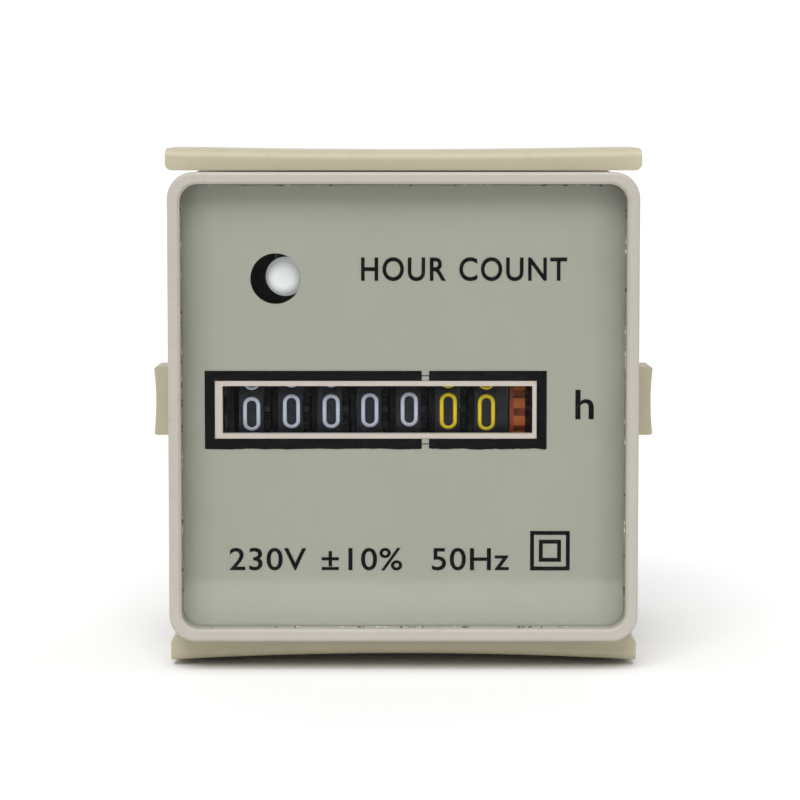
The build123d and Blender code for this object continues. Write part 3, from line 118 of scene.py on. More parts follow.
# crumbs round the clear front: their number, radius, length and depth in radii, distance in from
# the edge, roughness in radii, and share of an edge that they lie along
CRUMBS = 150
CRUMB_RADIUS = (0.03 * MM, 0.085 * MM)
CRUMB_STRETCH = (1.0, 4.5)
CRUMB_DEPTH = 0.5
CRUMB_INSET = 0.03 * MM
CRUMB_ROUGHNESS = 0.3
CRUMB_SPAN = (0.05, 0.95)
CRUMB_SEED = 11
# the edges in turn, as whether one is upright and whether it is the right or upper one of its pair
CRUMB_SIDES = ((True, False), (True, True), (False, True), (False, False))

# studio: floor, black card from its near to its far edge as (y, z), key light, backdrop
FLOOR_SIZE = 6.0
FLOOR_GAP = 0.1 * MM
CARD_NEAR = (-0.06, -0.0262)
CARD_FAR = (-0.50, 0.17)
CARD_WIDTH = 0.7
KEY_SOFTNESS = math.radians(38)
KEY_TURN = (math.radians(42), 0, math.radians(-6))
BACKDROP_RISE = (0.55, 0.90)    # y of the view's direction where it begins and is full
BACKDROP_LIGHT = 1.05
WHITE = (1, 1, 1, 1)
SENSOR_WIDTH = 36
CLIP_RANGE = (0.01, 20)


def joint_place(name):
    """Where a joint's axis stands, in metres."""
    return next(j["pos_m"] for j in frame["joints"] if j["name"] == name)


# ---------------------------------------------------------------- shader building
class Wire:
    """A shader socket that takes part in Python arithmetic."""

    def __init__(self, nodes, socket):
        self.nodes = nodes
        self.socket = socket

    def _math(self, operation, first, second, clamp=False):
        settings = {"operation": operation, "use_clamp": clamp}
        return self.nodes.add("ShaderNodeMath", settings, {0: first, 1: second})

    def __add__(self, other):
        return self._math("ADD", self, other)

    def __radd__(self, other):
        return self._math("ADD", other, self)

    def __sub__(self, other):
        return self._math("SUBTRACT", self, other)

    def __rsub__(self, other):
        return self._math("SUBTRACT", other, self)

    def __mul__(self, other):
        return self._math("MULTIPLY", self, other)

    def __rmul__(self, other):
        return self._math("MULTIPLY", other, self)

    def __pow__(self, other):
        return self._math("POWER", self, other)

    def __abs__(self):
        return self._math("ABSOLUTE", self, 0.0)

    def __gt__(self, other):
        return self._math("GREATER_THAN", self, other)

    def __lt__(self, other):
        return self._math("LESS_THAN", self, other)

    def clamped(self):
        """The same value, held between 0 and 1."""
        return self._math("ADD", self, 0.0, clamp=True)


class NodeTree:
    """The shader nodes of a material or of the world, from an empty start."""

    def __init__(self, owner):
        owner.use_nodes = True
        self.tree = owner.node_tree
        self.tree.nodes.clear()

    def add(self, kind, settings=None, sockets=None, output=0):
        """Adds a node: its settings first, then what goes in its sockets, by name or number."""
        node = self.tree.nodes.new(kind)
        for key, value in (settings or {}).items():
            setattr(node, key, value)
        for key, value in (sockets or {}).items():
            if isinstance(value, Wire):
                self.tree.links.new(value.socket, node.inputs[key])
            else:
                node.inputs[key].default_value = value
        return Wire(self, node.outputs[output]) if node.outputs else None


class Finish(NodeTree):
    """A material under construction."""

    def __init__(self, name):
        self.material = bpy.data.materials.new(name)
        super().__init__(self.material)
        self._place = None

    def place(self):
        """Object coordinates in millimetres."""
        if self._place is None:
            metres = self.add("ShaderNodeTexCoord", output="Object")
            self._place = self.add(
                "ShaderNodeVectorMath", {"operation": "SCALE"}, {0: metres, "Scale": 1 / MM}
            )
        return self._place

    def axis(self, letter):
        """One of the coordinates, in millimetres."""
        return self.add("ShaderNodeSeparateXYZ", sockets={0: self.place()}, output=letter)

    def stretched(self, scale, turn=(0, 0, 0)):
        """The coordinates scaled unevenly, for grain that runs one way."""
        return self.add(
            "ShaderNodeMapping",
            {"vector_type": "POINT"},
            {"Vector": self.place(), "Scale": scale, "Rotation": turn},
        )

    def noise(self, scale, detail=3.0, roughness=0.5, vector=None):
        """Cloudy noise; scale is in cells per millimetre."""
        sockets = {
            "Vector": vector or self.place(),
            "Scale": scale,
            "Detail": detail,
            "Roughness": roughness,
        }
        return self.add("ShaderNodeTexNoise", sockets=sockets)

    def grain(self, detail, roughness, scale, turn=(0, 0, 0)):
        """Noise that runs one way; scale is in cells per millimetre along each axis."""
        return self.noise(1.0, detail, roughness, self.stretched(scale, turn))

    def cells(self, scale, feature="F1"):
        """Distance to scattered points; scale is in points per millimetre."""
        return self.add(
            "ShaderNodeTexVoronoi", {"feature": feature}, {"Vector": self.place(), "Scale": scale}
        )

    def specks(self, scale, outer, inner, patch_scale, patch_share):
        """Dots of the given radii on scattered points, only in some patches."""
        return self.ramp(self.cells(scale), outer, inner) * (
            self.noise(patch_scale, 1.0) > patch_share
        )

    def ramp(self, value, low, high):
        """0 at low and 1 at high, clamped."""
        return self.add(
            "ShaderNodeMapRange",
            {"clamp": True},
            {"Value": value, "From Min": low, "From Max": high},
        )

    def blend(self, factor, first, second):
        """A colour between two."""
        return self.add(
            "ShaderNodeMix", {"data_type": "RGBA"}, {0: factor, 6: first, 7: second}, output=2
        )

    def bump(self, height, strength, distance):
        """A normal that follows a height field; distance is in metres."""
        return self.add(
            "ShaderNodeBump",
            sockets={"Strength": strength, "Distance": distance, "Height": height},
        )

    def principled(self, **sockets):
        """The main shader. Underscores stand for the spaces in the sockets' names."""
        named = {key.replace("_", " "): value for key, value in sockets.items()}
        return self.add("ShaderNodeBsdfPrincipled", sockets=named)

    def output(self, shader):
        """Ends the material and hands it over."""
        self.add("ShaderNodeOutputMaterial", sockets={"Surface": shader})
        return self.material

    def made(self, **sockets):
        """Ends the material with the main shader alone."""
        return self.output(self.principled(**sockets))


def shade(colour, factor):
    """A colour made lighter or darker, opaque."""
    return (colour[0] * factor, colour[1] * factor, colour[2] * factor, 1.0)


def moulded(name, colour, roughness=0.42, mottling=0.06, dirt=0.35):
    """Injection-moulded plastic: faint cloudiness, fine spark-eroded grain, specks of dirt and rub
    marks."""
    f = Finish(name)
    cloud = f.noise(0.11, 4.0, 0.6)
    tint = f.blend(cloud, shade(colour, 1 - mottling), shade(colour, 1 + mottling))
    grey = f.noise(0.9, 3.0, 0.55)
    tint = f.blend(f.ramp(grey, 0.55, 0.9) * dirt, tint, shade(colour, 0.72))
    speck = f.specks(1.1, 0.055, 0.03, 0.35, 0.56)
    tint = f.blend(speck * dirt, tint, shade(colour, 0.35))
    rub = f.ramp(f.grain(2.0, 0.5, (0.35, 1.6, 6.0), (0.3, 0.5, 0.2)), 0.66, 0.74)
    tint = f.blend(rub * 0.22, tint, shade(colour, 1.18))
    gloss = f.ramp(grey, 0.2, 0.9) * 0.16 + (roughness - 0.08) + rub * 0.08
    height = f.noise(7.0, 2.0, 0.6) + f.noise(0.5, 2.0) * 1.4
    return f.made(
        Base_Color=tint,
        Roughness=gloss,
        Normal=f.bump(height, 0.5, 0.02 * MM),
        Specular_IOR_Level=0.45,
    )


def printed_plate(name, colour, half_width):
    """Screen-printed dial sheet: fine upright rolling grain under the ink, soft blotches, dust, and
    a darker band along its left and right edges, painted shade where the bezel shades it."""
    f = Finish(name)
    streak = f.grain(4.0, 0.65, (4.0, 1.0, 0.10))
    cloud = f.noise(0.07, 3.0, 0.5)
    tint = f.blend(streak, shade(colour, 0.955), shade(colour, 1.045))
    tint = f.blend(f.ramp(cloud, 0.35, 0.75) * 0.35, tint, shade(colour, 1.10))
    # painted shade: the plate darkens towards its left and right edges, where the bezel shades it
    outward = abs(f.axis("X")) + f.noise(0.25, 2.0) * 1.6
    bezel_shade = f.ramp(outward, half_width - 2.4, half_width + 0.6)
    tint = f.blend(bezel_shade * 0.55, tint, shade(colour, 0.62))
    dust = f.specks(0.9, 0.06, 0.035, 0.4, 0.55)
    tint = f.blend(dust * 0.35, tint, (0.62, 0.62, 0.58, 1.0))
    height = streak + f.noise(9.0, 1.0) * 0.4
    return f.made(
        Base_Color=tint,
        Roughness=f.ramp(streak, 0.3, 0.8) * 0.12 + 0.46,
        Normal=f.bump(height, 0.35, 0.01 * MM),
        Specular_IOR_Level=0.35,
    )


def ink(name, colour, patchiness, roughness):
    """Printed ink or hot-stamped foil: slightly thin in places, with pinholes."""
    f = Finish(name)
    thin = f.ramp(f.noise(2.6, 3.0, 0.6), 0.42, 0.78)
    tint = f.blend(thin * patchiness, colour, shade(colour, 0.55))
    pinhole = f.specks(3.2, 0.10, 0.05, 1.3, 0.6)
    tint = f.blend(pinhole * patchiness, tint, (0.10, 0.10, 0.11, 1.0))
    return f.made(
        Base_Color=tint,
        Roughness=thin * 0.15 + roughness,
        Normal=f.bump(f.noise(14.0, 2.0), 0.3, 0.006 * MM),
        Specular_IOR_Level=0.1,
    )


def sheet_metal(name, colour, roughness=0.34, brushing=(0.12, 5.0, 0.5)):
    """Plated or rolled metal: brushed one way, with stains and fine scratches."""
    f = Finish(name)
    brush = f.grain(5.0, 0.7, brushing)
    stain = f.ramp(f.noise(0.22, 5.0, 0.62), 0.45, 0.8)
    tarnished = (colour[0] * 0.62, colour[1] * 0.55, colour[2] * 0.45, 1.0)
    tint = f.blend(brush, shade(colour, 0.88), shade(colour, 1.08))
    tint = f.blend(stain * 0.3, tint, tarnished)
    scratch = f.ramp(f.grain(1.0, 0.5, (0.4, 7.0, 7.0), (0.4, 0.2, 0.7)), 0.70, 0.75)
    return f.made(
        Base_Color=tint,
        Metallic=1.0,
        Roughness=brush * 0.16 + stain * 0.2 + (roughness - 0.08) + scratch * 0.1,
        Normal=f.bump(brush + scratch * -0.8, 0.35, 0.01 * MM),
    )


def turned_metal(name, colour, roughness=0.25):
    """Lathe-turned bar: fine rings across its length and a few dull spots."""
    f = Finish(name)
    rings = f.grain(3.0, 0.7, (9.0, 0.2, 0.2))
    dull = f.ramp(f.noise(0.6, 4.0), 0.5, 0.8)
    tint = f.blend(rings, shade(colour, 0.9), shade(colour, 1.07))
    tint = f.blend(dull * 0.4, tint, shade(colour, 0.6))
    return f.made(
        Base_Color=tint,
        Metallic=1.0,
        Roughness=rings * 0.12 + dull * 0.2 + (roughness - 0.06),
        Normal=f.bump(rings, 0.3, 0.008 * MM),
    )


def wound_copper(name, colour):
    """Enamelled wire in close turns round the bobbin, along X."""
    f = Finish(name)
    turns = f.add(
        "ShaderNodeTexWave",
        {"wave_type": "BANDS", "bands_direction": "X", "wave_profile": "SIN"},
        {
            "Vector": f.place(),
            "Scale": 1.6,
            "Distortion": 0.7,
            "Detail": 1.0,
            "Detail Scale": 1.2,
        },
    )
    varnish = f.noise(0.5, 3.0)
    tint = f.blend(turns, shade(colour, 0.45), shade(colour, 1.15))
    tint = f.blend(f.ramp(varnish, 0.5, 0.8) * 0.4, tint, shade(colour, 0.6))
    return f.made(
        Base_Color=tint,
        Metallic=0.7,
        Roughness=varnish * 0.15 + 0.25,
        Normal=f.bump(turns, 0.8, 0.05 * MM),
    )


def solder_mask(name, colour):
    """Circuit board: copper tracks under green lacquer and a faint weave of the glass cloth."""
    f = Finish(name)
    weave_x = f.grain(0.0, 0.5, (5.0, 0.6, 1.0))
    weave_y = f.grain(0.0, 0.5, (0.6, 5.0, 1.0))
    tracks = f.ramp(f.cells(0.22, "DISTANCE_TO_EDGE"), 0.16, 0.13)
    over_copper = (colour[0] * 1.7, colour[1] * 1.35, colour[2] * 1.2, 1.0)
    tint = f.blend(tracks, colour, over_copper)
    tint = f.blend((weave_x + weave_y) * 0.2, tint, shade(colour, 1.6))
    return f.made(
        Base_Color=tint,
        Roughness=weave_x * 0.15 + 0.25,
        Normal=f.bump(tracks * 2.0 + weave_x + weave_y, 0.4, 0.03 * MM),
    )


def indicator_ring(name, colour, face_x, gear_x):
    """Orange slotted ring with painted shade: darker at the rim beside its side face, and near
    black on the side face and the gear, which lie in shadow.
    """
    f = Finish(name)
    cloud = f.noise(0.5, 3.0, 0.6)
    tint = f.blend(cloud, shade(colour, 0.82), shade(colour, 1.15))
    # painted shade: the rim is darker next to its side face
    rim = f.ramp(f.axis("X"), face_x + 0.42, face_x + 0.50)
    tint = f.blend(rim, shade(colour, 0.55), tint)
    # painted shade: the side face and the gear are made near black, as they lie in shadow
    painted_shade = (f.axis("X") < face_x + 0.03) + (f.axis("X") > gear_x)
    tint = f.blend(painted_shade * 0.94, tint, (0.012, 0.008, 0.007, 1.0))
    return f.made(
        Base_Color=tint,
        Roughness=cloud * 0.2 + 0.3,
        Normal=f.bump(f.noise(5.0, 2.0), 0.4, 0.02 * MM),
    )


def clear_plate(name):
    """Clear acrylic front: a faint sheen at grazing angles, hairline scratches, specks of dust."""
    f = Finish(name)
    fine = f.grain(1.0, 0.5, (9.0, 1.0, 0.22), (0, 0.35, 0))
    coarse = f.grain(1.0, 0.5, (0.25, 1.0, 7.0), (0, -0.5, 0))
    patch = f.ramp(f.noise(0.16, 2.0), 0.45, 0.7)
    scratches = (f.ramp(fine, 0.70, 0.74) + f.ramp(coarse, 0.72, 0.76)) * patch
    dust = f.specks(1.4, 0.05, 0.025, 0.5, 0.57)
    film = (scratches * 0.06 + dust * 0.35 + 0.0015).clamped()
    normal = f.bump(fine + f.noise(0.3, 2.0) * 2.0, 0.15, 0.006 * MM)
    slant = f.add("ShaderNodeLayerWeight", sockets={"Blend": 0.5}, output="Facing")
    gleam = slant ** 5 * 0.96 + 0.035
    clear = f.add("ShaderNodeBsdfTransparent", sockets={"Color": (0.985, 0.99, 0.985, 1.0)})
    mirror = f.add(
        "ShaderNodeBsdfGlossy", sockets={"Color": WHITE, "Roughness": 0.07, "Normal": normal}
    )
    glass = f.add("ShaderNodeMixShader", sockets={0: gleam, 1: clear, 2: mirror})
    dirt = f.principled(Base_Color=(0.80, 0.80, 0.76, 1.0), Roughness=0.8)
    return f.output(f.add("ShaderNodeMixShader", sockets={0: film, 1: glass, 2: dirt}))


def milky_lamp(name, colour):
    """Diffused lamp body: cloudy, waxy and glossy, greyer towards its base, with a faint painted
    glow.
    """
    f = Finish(name)
    cloud = f.noise(0.9, 4.0, 0.6)
    depth = f.ramp(f.axis("Y"), 2.2, 6.0)
    tint = f.blend(depth, f.blend(cloud, shade(colour, 0.92), colour), shade(colour, 0.6))
    return f.made(
        Base_Color=tint,
        Roughness=cloud * 0.12 + 0.12,
        Normal=f.bump(cloud, 0.2, 0.03 * MM),
        Coat_Weight=0.5,
        # painted light: the lamp body glows a little, making up for the little light that reaches
        # it in its hole
        Emission_Color=tint,
        Emission_Strength=0.42,
    )


def ferrite(name, colour):
    """Sintered magnet ring: matt, granular, with chipped spots."""
    f = Finish(name)
    grain = f.noise(8.0, 3.0, 0.6)
    chips = f.specks(0.8, 0.16, 0.1, 0.3, 0.5)
    tint = f.blend(grain, shade(colour, 0.7), shade(colour, 1.4))
    tint = f.blend(chips * 0.6, tint, shade(colour, 2.2))
    return f.made(
        Base_Color=tint,
        Roughness=grain * 0.2 + 0.5,
        Normal=f.bump(grain - chips * 2.0, 0.5, 0.03 * MM),
    )


def banded_resistor(name, colour, low_x, high_x):
    """Lacquered resistor body with its colour bands across X, each at its share of the length."""
    f = Finish(name)
    half_band = 0.05
    bands = (
        (0.18, (0.25, 0.10, 0.03, 1)),
        (0.38, (0.01, 0.01, 0.01, 1)),
        (0.58, (0.6, 0.02, 0.01, 1)),
        (0.82, (0.6, 0.45, 0.12, 1)),
    )
    lacquer = f.noise(1.5, 3.0)
    tint = f.blend(lacquer, shade(colour, 0.88), shade(colour, 1.12))
    along = f.ramp(f.axis("X"), low_x / MM, high_x / MM)
    for middle, band in bands:
        near = (along > middle - half_band) * (along < middle + half_band)
        tint = f.blend(near, tint, band)
    return f.made(
        Base_Color=tint,
        Roughness=lacquer * 0.15 + 0.25,
        Normal=f.bump(lacquer, 0.3, 0.03 * MM),
    )


def shade_gauze(name):
    """Near-black gauze, painted shade that keeps the case dark behind the wheels, with a little
    lint in it.
    """
    f = Finish(name)
    across, upward = (
        f.add(
            "ShaderNodeTexWave", {"bands_direction": axis}, {"Vector": f.place(), "Scale": 0.9}
        )
        for axis in "XZ"
    )
    lint = f.noise(1.2, 3.0)
    tint = f.blend(across * upward, (0.012, 0.012, 0.013, 1), (0.05, 0.05, 0.052, 1))
    tint = f.blend(f.ramp(lint, 0.6, 0.8) * 0.5, tint, (0.16, 0.15, 0.14, 1))
    return f.made(
        Base_Color=tint,
        Roughness=lint * 0.2 + 0.75,
        Normal=f.bump(across + upward, 0.6, 0.05 * MM),
    )


def edge_dust(name):
    """Pale chips among dark dirt."""
    f = Finish(name)
    pale = f.noise(0.7, 1.0) > 0.5
    mottle = f.noise(6.0, 2.0)
    tint = f.blend(pale, (0.03, 0.03, 0.025, 1), (0.80, 0.78, 0.68, 1))
    tint = f.blend(mottle * 0.4, tint, (0.20, 0.19, 0.16, 1))
    return f.made(
        Base_Color=tint,
        Roughness=mottle * 0.3 + 0.5,
        Normal=f.bump(mottle, 0.5, 0.02 * MM),
    )


# ---------------------------------------------------------------- mesh building
def deselect():
    """Leaves object mode with nothing selected."""
    if bpy.context.object and bpy.context.object.mode != "OBJECT":
        bpy.ops.object.mode_set(mode="OBJECT")
    bpy.ops.object.select_all(action="DESELECT")


def only(obj):
    """Makes one object the active and the only selected one."""
    deselect()
    obj.select_set(True)
    bpy.context.view_layer.objects.active = obj


def choose_faces(obj, test):
    """Selects the faces whose middle passes a test, and stays in edit mode's face mode."""
    bpy.ops.object.mode_set(mode="EDIT")
    bpy.ops.mesh.select_mode(type="FACE")
    bpy.ops.mesh.select_all(action="DESELECT")
    bpy.ops.object.mode_set(mode="OBJECT")
    for face in obj.data.polygons:
        face.select = test(face.center)
    bpy.ops.object.mode_set(mode="EDIT")


def settle(obj):
    """Applies place, turn and size, so that the finished piece's object sits at the origin."""
    only(obj)
    bpy.ops.object.transform_apply(location=True, rotation=True, scale=True)
    return obj


def joined(pieces):
    """Several meshes made one."""
    deselect()
    for piece in pieces:
        piece.select_set(True)
    bpy.context.view_layer.objects.active = pieces[0]
    bpy.ops.object.join()
    return bpy.context.object


def hand_over(obj, name, body, material):
    """Names a finished piece, gives it its material and lets it ride on its body."""
    settle(obj)
    obj.name = name
    obj.data.name = name
    obj.data.materials.clear()
    obj.data.materials.append(material)
    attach(obj, body)


def front_plane(low_x, high_x, low_z, high_z, y):
    """A rectangle that faces the front."""
    deselect()
    bpy.ops.mesh.primitive_plane_add(
        size=1, location=((low_x + high_x) / 2, y, (low_z + high_z) / 2), rotation=FACING_FRONT
    )
    plane = bpy.context.object
    plane.scale = (high_x - low_x, high_z - low_z, 1)
    return settle(plane)


def make_frame(line):
    """Leaves only a line of the given width round the active plane's edge, in edit mode."""
    bpy.ops.object.mode_set(mode="EDIT")
    bpy.ops.mesh.select_all(action="SELECT")
    bpy.ops.mesh.inset(thickness=line, depth=0)
    bpy.ops.mesh.delete(type="FACE")


def cut_through(point, normal):
    """Cuts the mesh in edit mode along a plane."""
    bpy.ops.mesh.select_all(action="SELECT")
    bpy.ops.mesh.bisect(plane_co=point, plane_no=normal, threshold=CUT)


def raise_front(obj, thickness):
    """Gives a flat front-facing shape its thickness, towards the front."""
    only(obj)
    bpy.ops.object.mode_set(mode="EDIT")
    bpy.ops.mesh.select_all(action="SELECT")
    bpy.ops.mesh.extrude_region_move(TRANSFORM_OT_translate={"value": (0, -thickness, 0)})
    bpy.ops.mesh.select_all(action="SELECT")
    bpy.ops.mesh.normals_make_consistent(inside=False)
    bpy.ops.object.mode_set(mode="OBJECT")
    return obj


def front_text(body, ends, heights, y, thickness, spacing, weight):
    """Text as a thin raised mesh that fills the given box from its first letter to its last."""
    deselect()
    bpy.ops.object.text_add(location=(0, 0, 0), rotation=FACING_FRONT)
    text = bpy.context.object
    text.data.body = body
    text.data.space_character = spacing
    text.data.space_word = WORD_SPACE
    text.data.resolution_u = LETTER_SMOOTHNESS
    text.data.offset = weight
    text.data.extrude = 0.5
    bpy.ops.object.convert(target="MESH")
    text = settle(bpy.context.object)
    xs, ys, zs = zip(*(v.co for v in text.data.vertices))
    scale = (
        (ends[1] - ends[0]) / (max(xs) - min(xs)),
        thickness / (max(ys) - min(ys)),
        (heights[1] - heights[0]) / (max(zs) - min(zs)),
    )
    text.scale = scale
    text.location = (
        ends[0] - min(xs) * scale[0],
        y - max(ys) * scale[1],
        heights[0] - min(zs) * scale[2],
    )
    return settle(text)


def arc(z, radius, start, end, steps=10):
    """Points along an arc on the figure's middle line, angles in degrees counted from the right,
    anticlockwise."""
    angles = (math.radians(start + (end - start) * i / steps) for i in range(steps + 1))
    return [(radius * math.cos(a), z + radius * math.sin(a)) for a in angles]


def figure_strokes(w, h):
    """The centre lines of the ten figures, w wide and h high from their middle: for each figure its
    lines, as (x, z) points and whether the line closes."""
    low, high = -h + w, h - w
    upper_ring = arc(high, w, 0, 360, ROUND_STEPS)[:-1]
    lower_ring = arc(low, w, 0, 360, ROUND_STEPS)[:-1]
    return (
        [(arc(high, w, 0, 180) + arc(low, w, 180, 360), True)],
        [([(-0.45 * w, h - 0.5 * w), (0.15 * w, h), (0.15 * w, -h)], False)],
        [(arc(high, w, 170, -35) + [(-w, -h), (w, -h)], False)],
        [(arc(high, w, 160, -90), False), (arc(low, w, 90, -160), False)],
        [([(0.35 * w, -h), (0.35 * w, h), (-w, -0.3 * h), (w, -0.3 * h)], False)],
        [([(w, h), (-w, h), (-w, 0.08 * h)] + arc(low, w, 120, -150), False)],
        [(arc(high, w, 20, 180) + [(-w, low)], False), (lower_ring, True)],
        [([(-w, h), (w, h), (-0.2 * w, -h)], False)],
        [(upper_ring, True), (lower_ring, True)],
        [(arc(low, w, 200, 360) + [(w, high)], False), (upper_ring, True)],
    )


def close_set(points, closed):
    """The same line with its points close together, so that it bends evenly."""
    ends = points[1:] + points[:1] if closed else points[1:]
    line = []
    for (x, z), (next_x, next_z) in zip(points, ends):
        parts = max(1, math.ceil(math.hypot(next_x - x, next_z - z) / STROKE_POINTS))
        line += [
            (x + (next_x - x) * i / parts, z + (next_z - z) * i / parts) for i in range(parts)
        ]
    return line if closed else line + [points[-1]]


def stroke_mesh(points, closed, stroke, thickness):
    """A centre line in the front plane, given a stroke's width and flattened to the foil's
    thickness."""
    points = close_set(points, closed)
    curve = bpy.data.curves.new("stroke", "CURVE")
    curve.dimensions = "3D"
    curve.bevel_depth = stroke / 2
    curve.bevel_resolution = 1
    curve.use_fill_caps = True
    spline = curve.splines.new("POLY")
    spline.points.add(len(points) - 1)
    for target, (x, z) in zip(spline.points, points):
        target.co = (x, 0, z, 1)
    spline.use_cyclic_u = closed
    obj = bpy.data.objects.new("stroke", curve)
    bpy.context.scene.collection.objects.link(obj)
    only(obj)
    bpy.ops.object.convert(target="MESH")
    obj = bpy.context.object
    obj.scale = (1, thickness / stroke, 1)
    return settle(obj)


def figure_ring(sizes, height, radius):
    """The ten figures as they go round a wheel: laid in a strip, then bent to the wheel's
    radius."""
    pitch = 2 * math.pi * radius / FIGURES
    half_width = (sizes.figure_width - sizes.figure_stroke) / 2
    half_height = (height - sizes.figure_stroke) / 2
    pieces = []
    for figure, lines in enumerate(figure_strokes(half_width, half_height)):
        down = (figure if figure < FIGURES / 2 else figure - FIGURES) * -pitch
        for points, closed in lines:
            points = [(x, z + down) for x, z in points]
            pieces.append(stroke_mesh(points, closed, sizes.figure_stroke, 2 * sizes.foil))
    strip = joined(pieces)
    heights = [v.co.z for v in strip.data.vertices]
    bend = strip.modifiers.new("round the wheel", "SIMPLE_DEFORM")
    bend.deform_method = "BEND"
    bend.deform_axis = "X"
    bend.angle = (max(heights) - min(heights)) / radius
    only(strip)
    bpy.ops.object.modifier_apply(modifier=bend.name)
    return strip


# ---------------------------------------------------------------- what a user may change
def length(name, description, millimetres):
    """A length, with its default in millimetres."""
    return bpy.props.FloatProperty(
        name=name, description=description, default=millimetres * MM, unit="LENGTH"
    )


def places(name, description, *millimetres):
    """Places along one or more axes, with their defaults in millimetres."""
    return bpy.props.FloatVectorProperty(
        name=name,
        description=description,
        size=len(millimetres),
        subtype="XYZ",
        default=[value * MM for value in millimetres],
        unit="LENGTH",
    )


def colour(name, description, *default):
    """An opaque colour."""
    return bpy.props.FloatVectorProperty(
        name=name, description=description, subtype="COLOR", size=4, default=(*default, 1)
    )


class HourMeterPrint(bpy.types.PropertyGroup):
    """What is printed on the plate, and where."""

    title: bpy.props.StringProperty(
        name="Title", description="Upper line of the plate", default="HOUR COUNT"
    )
    title_x: places("Title ends", "Left and right end of the title", -4.35, 16.75)
    title_z: places("Title heights", "Foot and top of the title", 12.85, 15.30)
    rating: bpy.props.StringProperty(
        name="Rating", description="Supply", default="230V ±10%  50Hz"
    )
    rating_x: places("Rating ends", "Left and right end of the rating", -17.95, 10.9)
    rating_z: places("Rating heights", "Foot and top of the rating", -17.0, -14.65)
    unit: bpy.props.StringProperty(name="Unit", description="Beside the window", default="h")
    unit_x: places("Unit ends", "Left and right end of the unit", 17.65, 19.55)
    unit_z: places("Unit heights", "Foot and top of the unit", -1.35, 1.70)
    mark_centre: places("Insulation mark", "Middle of the double square", 15.1, -14.95)
    mark_size: length("Mark size", "Outer square's side", 4.1)
    band: length("Window band", "Width of the black band round the window", 1.02)
    point_gap: length("Point gap", "Break in the band between whole hours and fractions", 0.74)
    point_x: length("Point", "Middle of that break", 2.25)
    film: length("Ink film", "Thickness of the ink", 0.02)
    flange: length("Surround flange", "What the surround has behind the plate, past its rim", 1.2)


class HourMeterFigures(bpy.types.PropertyGroup):
    """The figures on the number wheels."""

    figure_width: length("Width", "Overall", 1.80)
    figure_height: length("Height", "Whole hours", 3.68)
    fraction_height: length("Fraction height", "Fractions", 3.92)
    figure_stroke: length("Stroke", "Line width", 0.42)
    foil: length("Foil", "How far the foil stands out", 0.03)


class HourMeterColours(bpy.types.PropertyGroup):
    """The main colour of every piece."""

    case: colour("Case", "Case and bezel", 0.455, 0.425, 0.370)
    clamp: colour("Clamp", "Clamp frame and pawls", 0.490, 0.450, 0.320)
    cover: colour("Cover", "Rear cover", 0.46, 0.44, 0.375)
    surround: colour("Surround", "Window surround", 0.61, 0.53, 0.48)
    cover_screw: colour("Cover screws", "Plated steel", 0.62, 0.62, 0.60)
    blade: colour("Blades", "Tinned terminal blades", 0.74, 0.73, 0.70)
    plate: colour("Plate", "Printed dial plate", 0.372, 0.376, 0.316)
    ink: colour("Ink", "Lettering and window band", 0.0035, 0.0035, 0.0045)
    lamp: colour("Lamp", "Run lamp", 0.86, 0.88, 0.88)
    lead: colour("Leads", "Tinned wire", 0.72, 0.71, 0.68)
    wheel: colour("Wheels", "Number wheels", 0.016, 0.017, 0.024)
    whole: colour("Whole hours", "Figures of the whole hours", 0.55, 0.59, 0.72)
    fraction: colour("Fractions", "Figures of the fractions", 0.78, 0.60, 0.025)
    pinion: colour("Carry pinions", "Between the wheels", 0.03, 0.03, 0.035)
    indicator: colour("Indicator", "Slotted indicator wheel", 0.46, 0.105, 0.016)
    # painted shade: the shafts are made near black so that they show no highlight between the
    # wheels
    shaft: colour("Shafts", "Blued steel", 0.05, 0.05, 0.06)
    tie_bar: colour("Tie bars", "Dull steel", 0.30, 0.30, 0.30)
    # painted shade: the end plate is made near black to stand in for the shade beside the last
    # wheel
    end_plate: colour("End plate", "Blackened steel", 0.035, 0.03, 0.03)
    clip: colour("Clips", "Spring steel", 0.34, 0.33, 0.32)
    gear: colour("Gears", "Pale moulded gears", 0.74, 0.72, 0.64)
    brass: colour("Brass", "Turned pinions, pillars and bushes", 0.72, 0.52, 0.22)
    arbor: colour("Arbors", "Bright steel", 0.62, 0.62, 0.62)
    train_plate: colour("Train plates", "Rolled steel", 0.56, 0.57, 0.56)
    train_screw: colour("Train screws", "Screws and rivets", 0.5, 0.5, 0.49)
    can: colour("Can", "Motor can and pole plate", 0.52, 0.53, 0.52)
    bobbin: colour("Bobbin", "Coil bobbin", 0.62, 0.60, 0.50)
    winding: colour("Winding", "Enamelled wire", 0.52, 0.18, 0.06)
    magnet: colour("Magnet", "Ring magnet", 0.055, 0.055, 0.06)
    hub: colour("Hub", "Rotor hub", 0.70, 0.68, 0.60)
    sleeve: colour("Motor wires", "Their sleeves", 0.42, 0.03, 0.02)
    board: colour("Board", "Lacquer of the circuit board", 0.035, 0.17, 0.06)
    resistor: colour("Resistors", "Their lacquer", 0.16, 0.34, 0.50)
    diode: colour("Diode", "Its epoxy", 0.02, 0.02, 0.022)
    capacitor: colour("Capacitor", "Its box", 0.62, 0.42, 0.07)


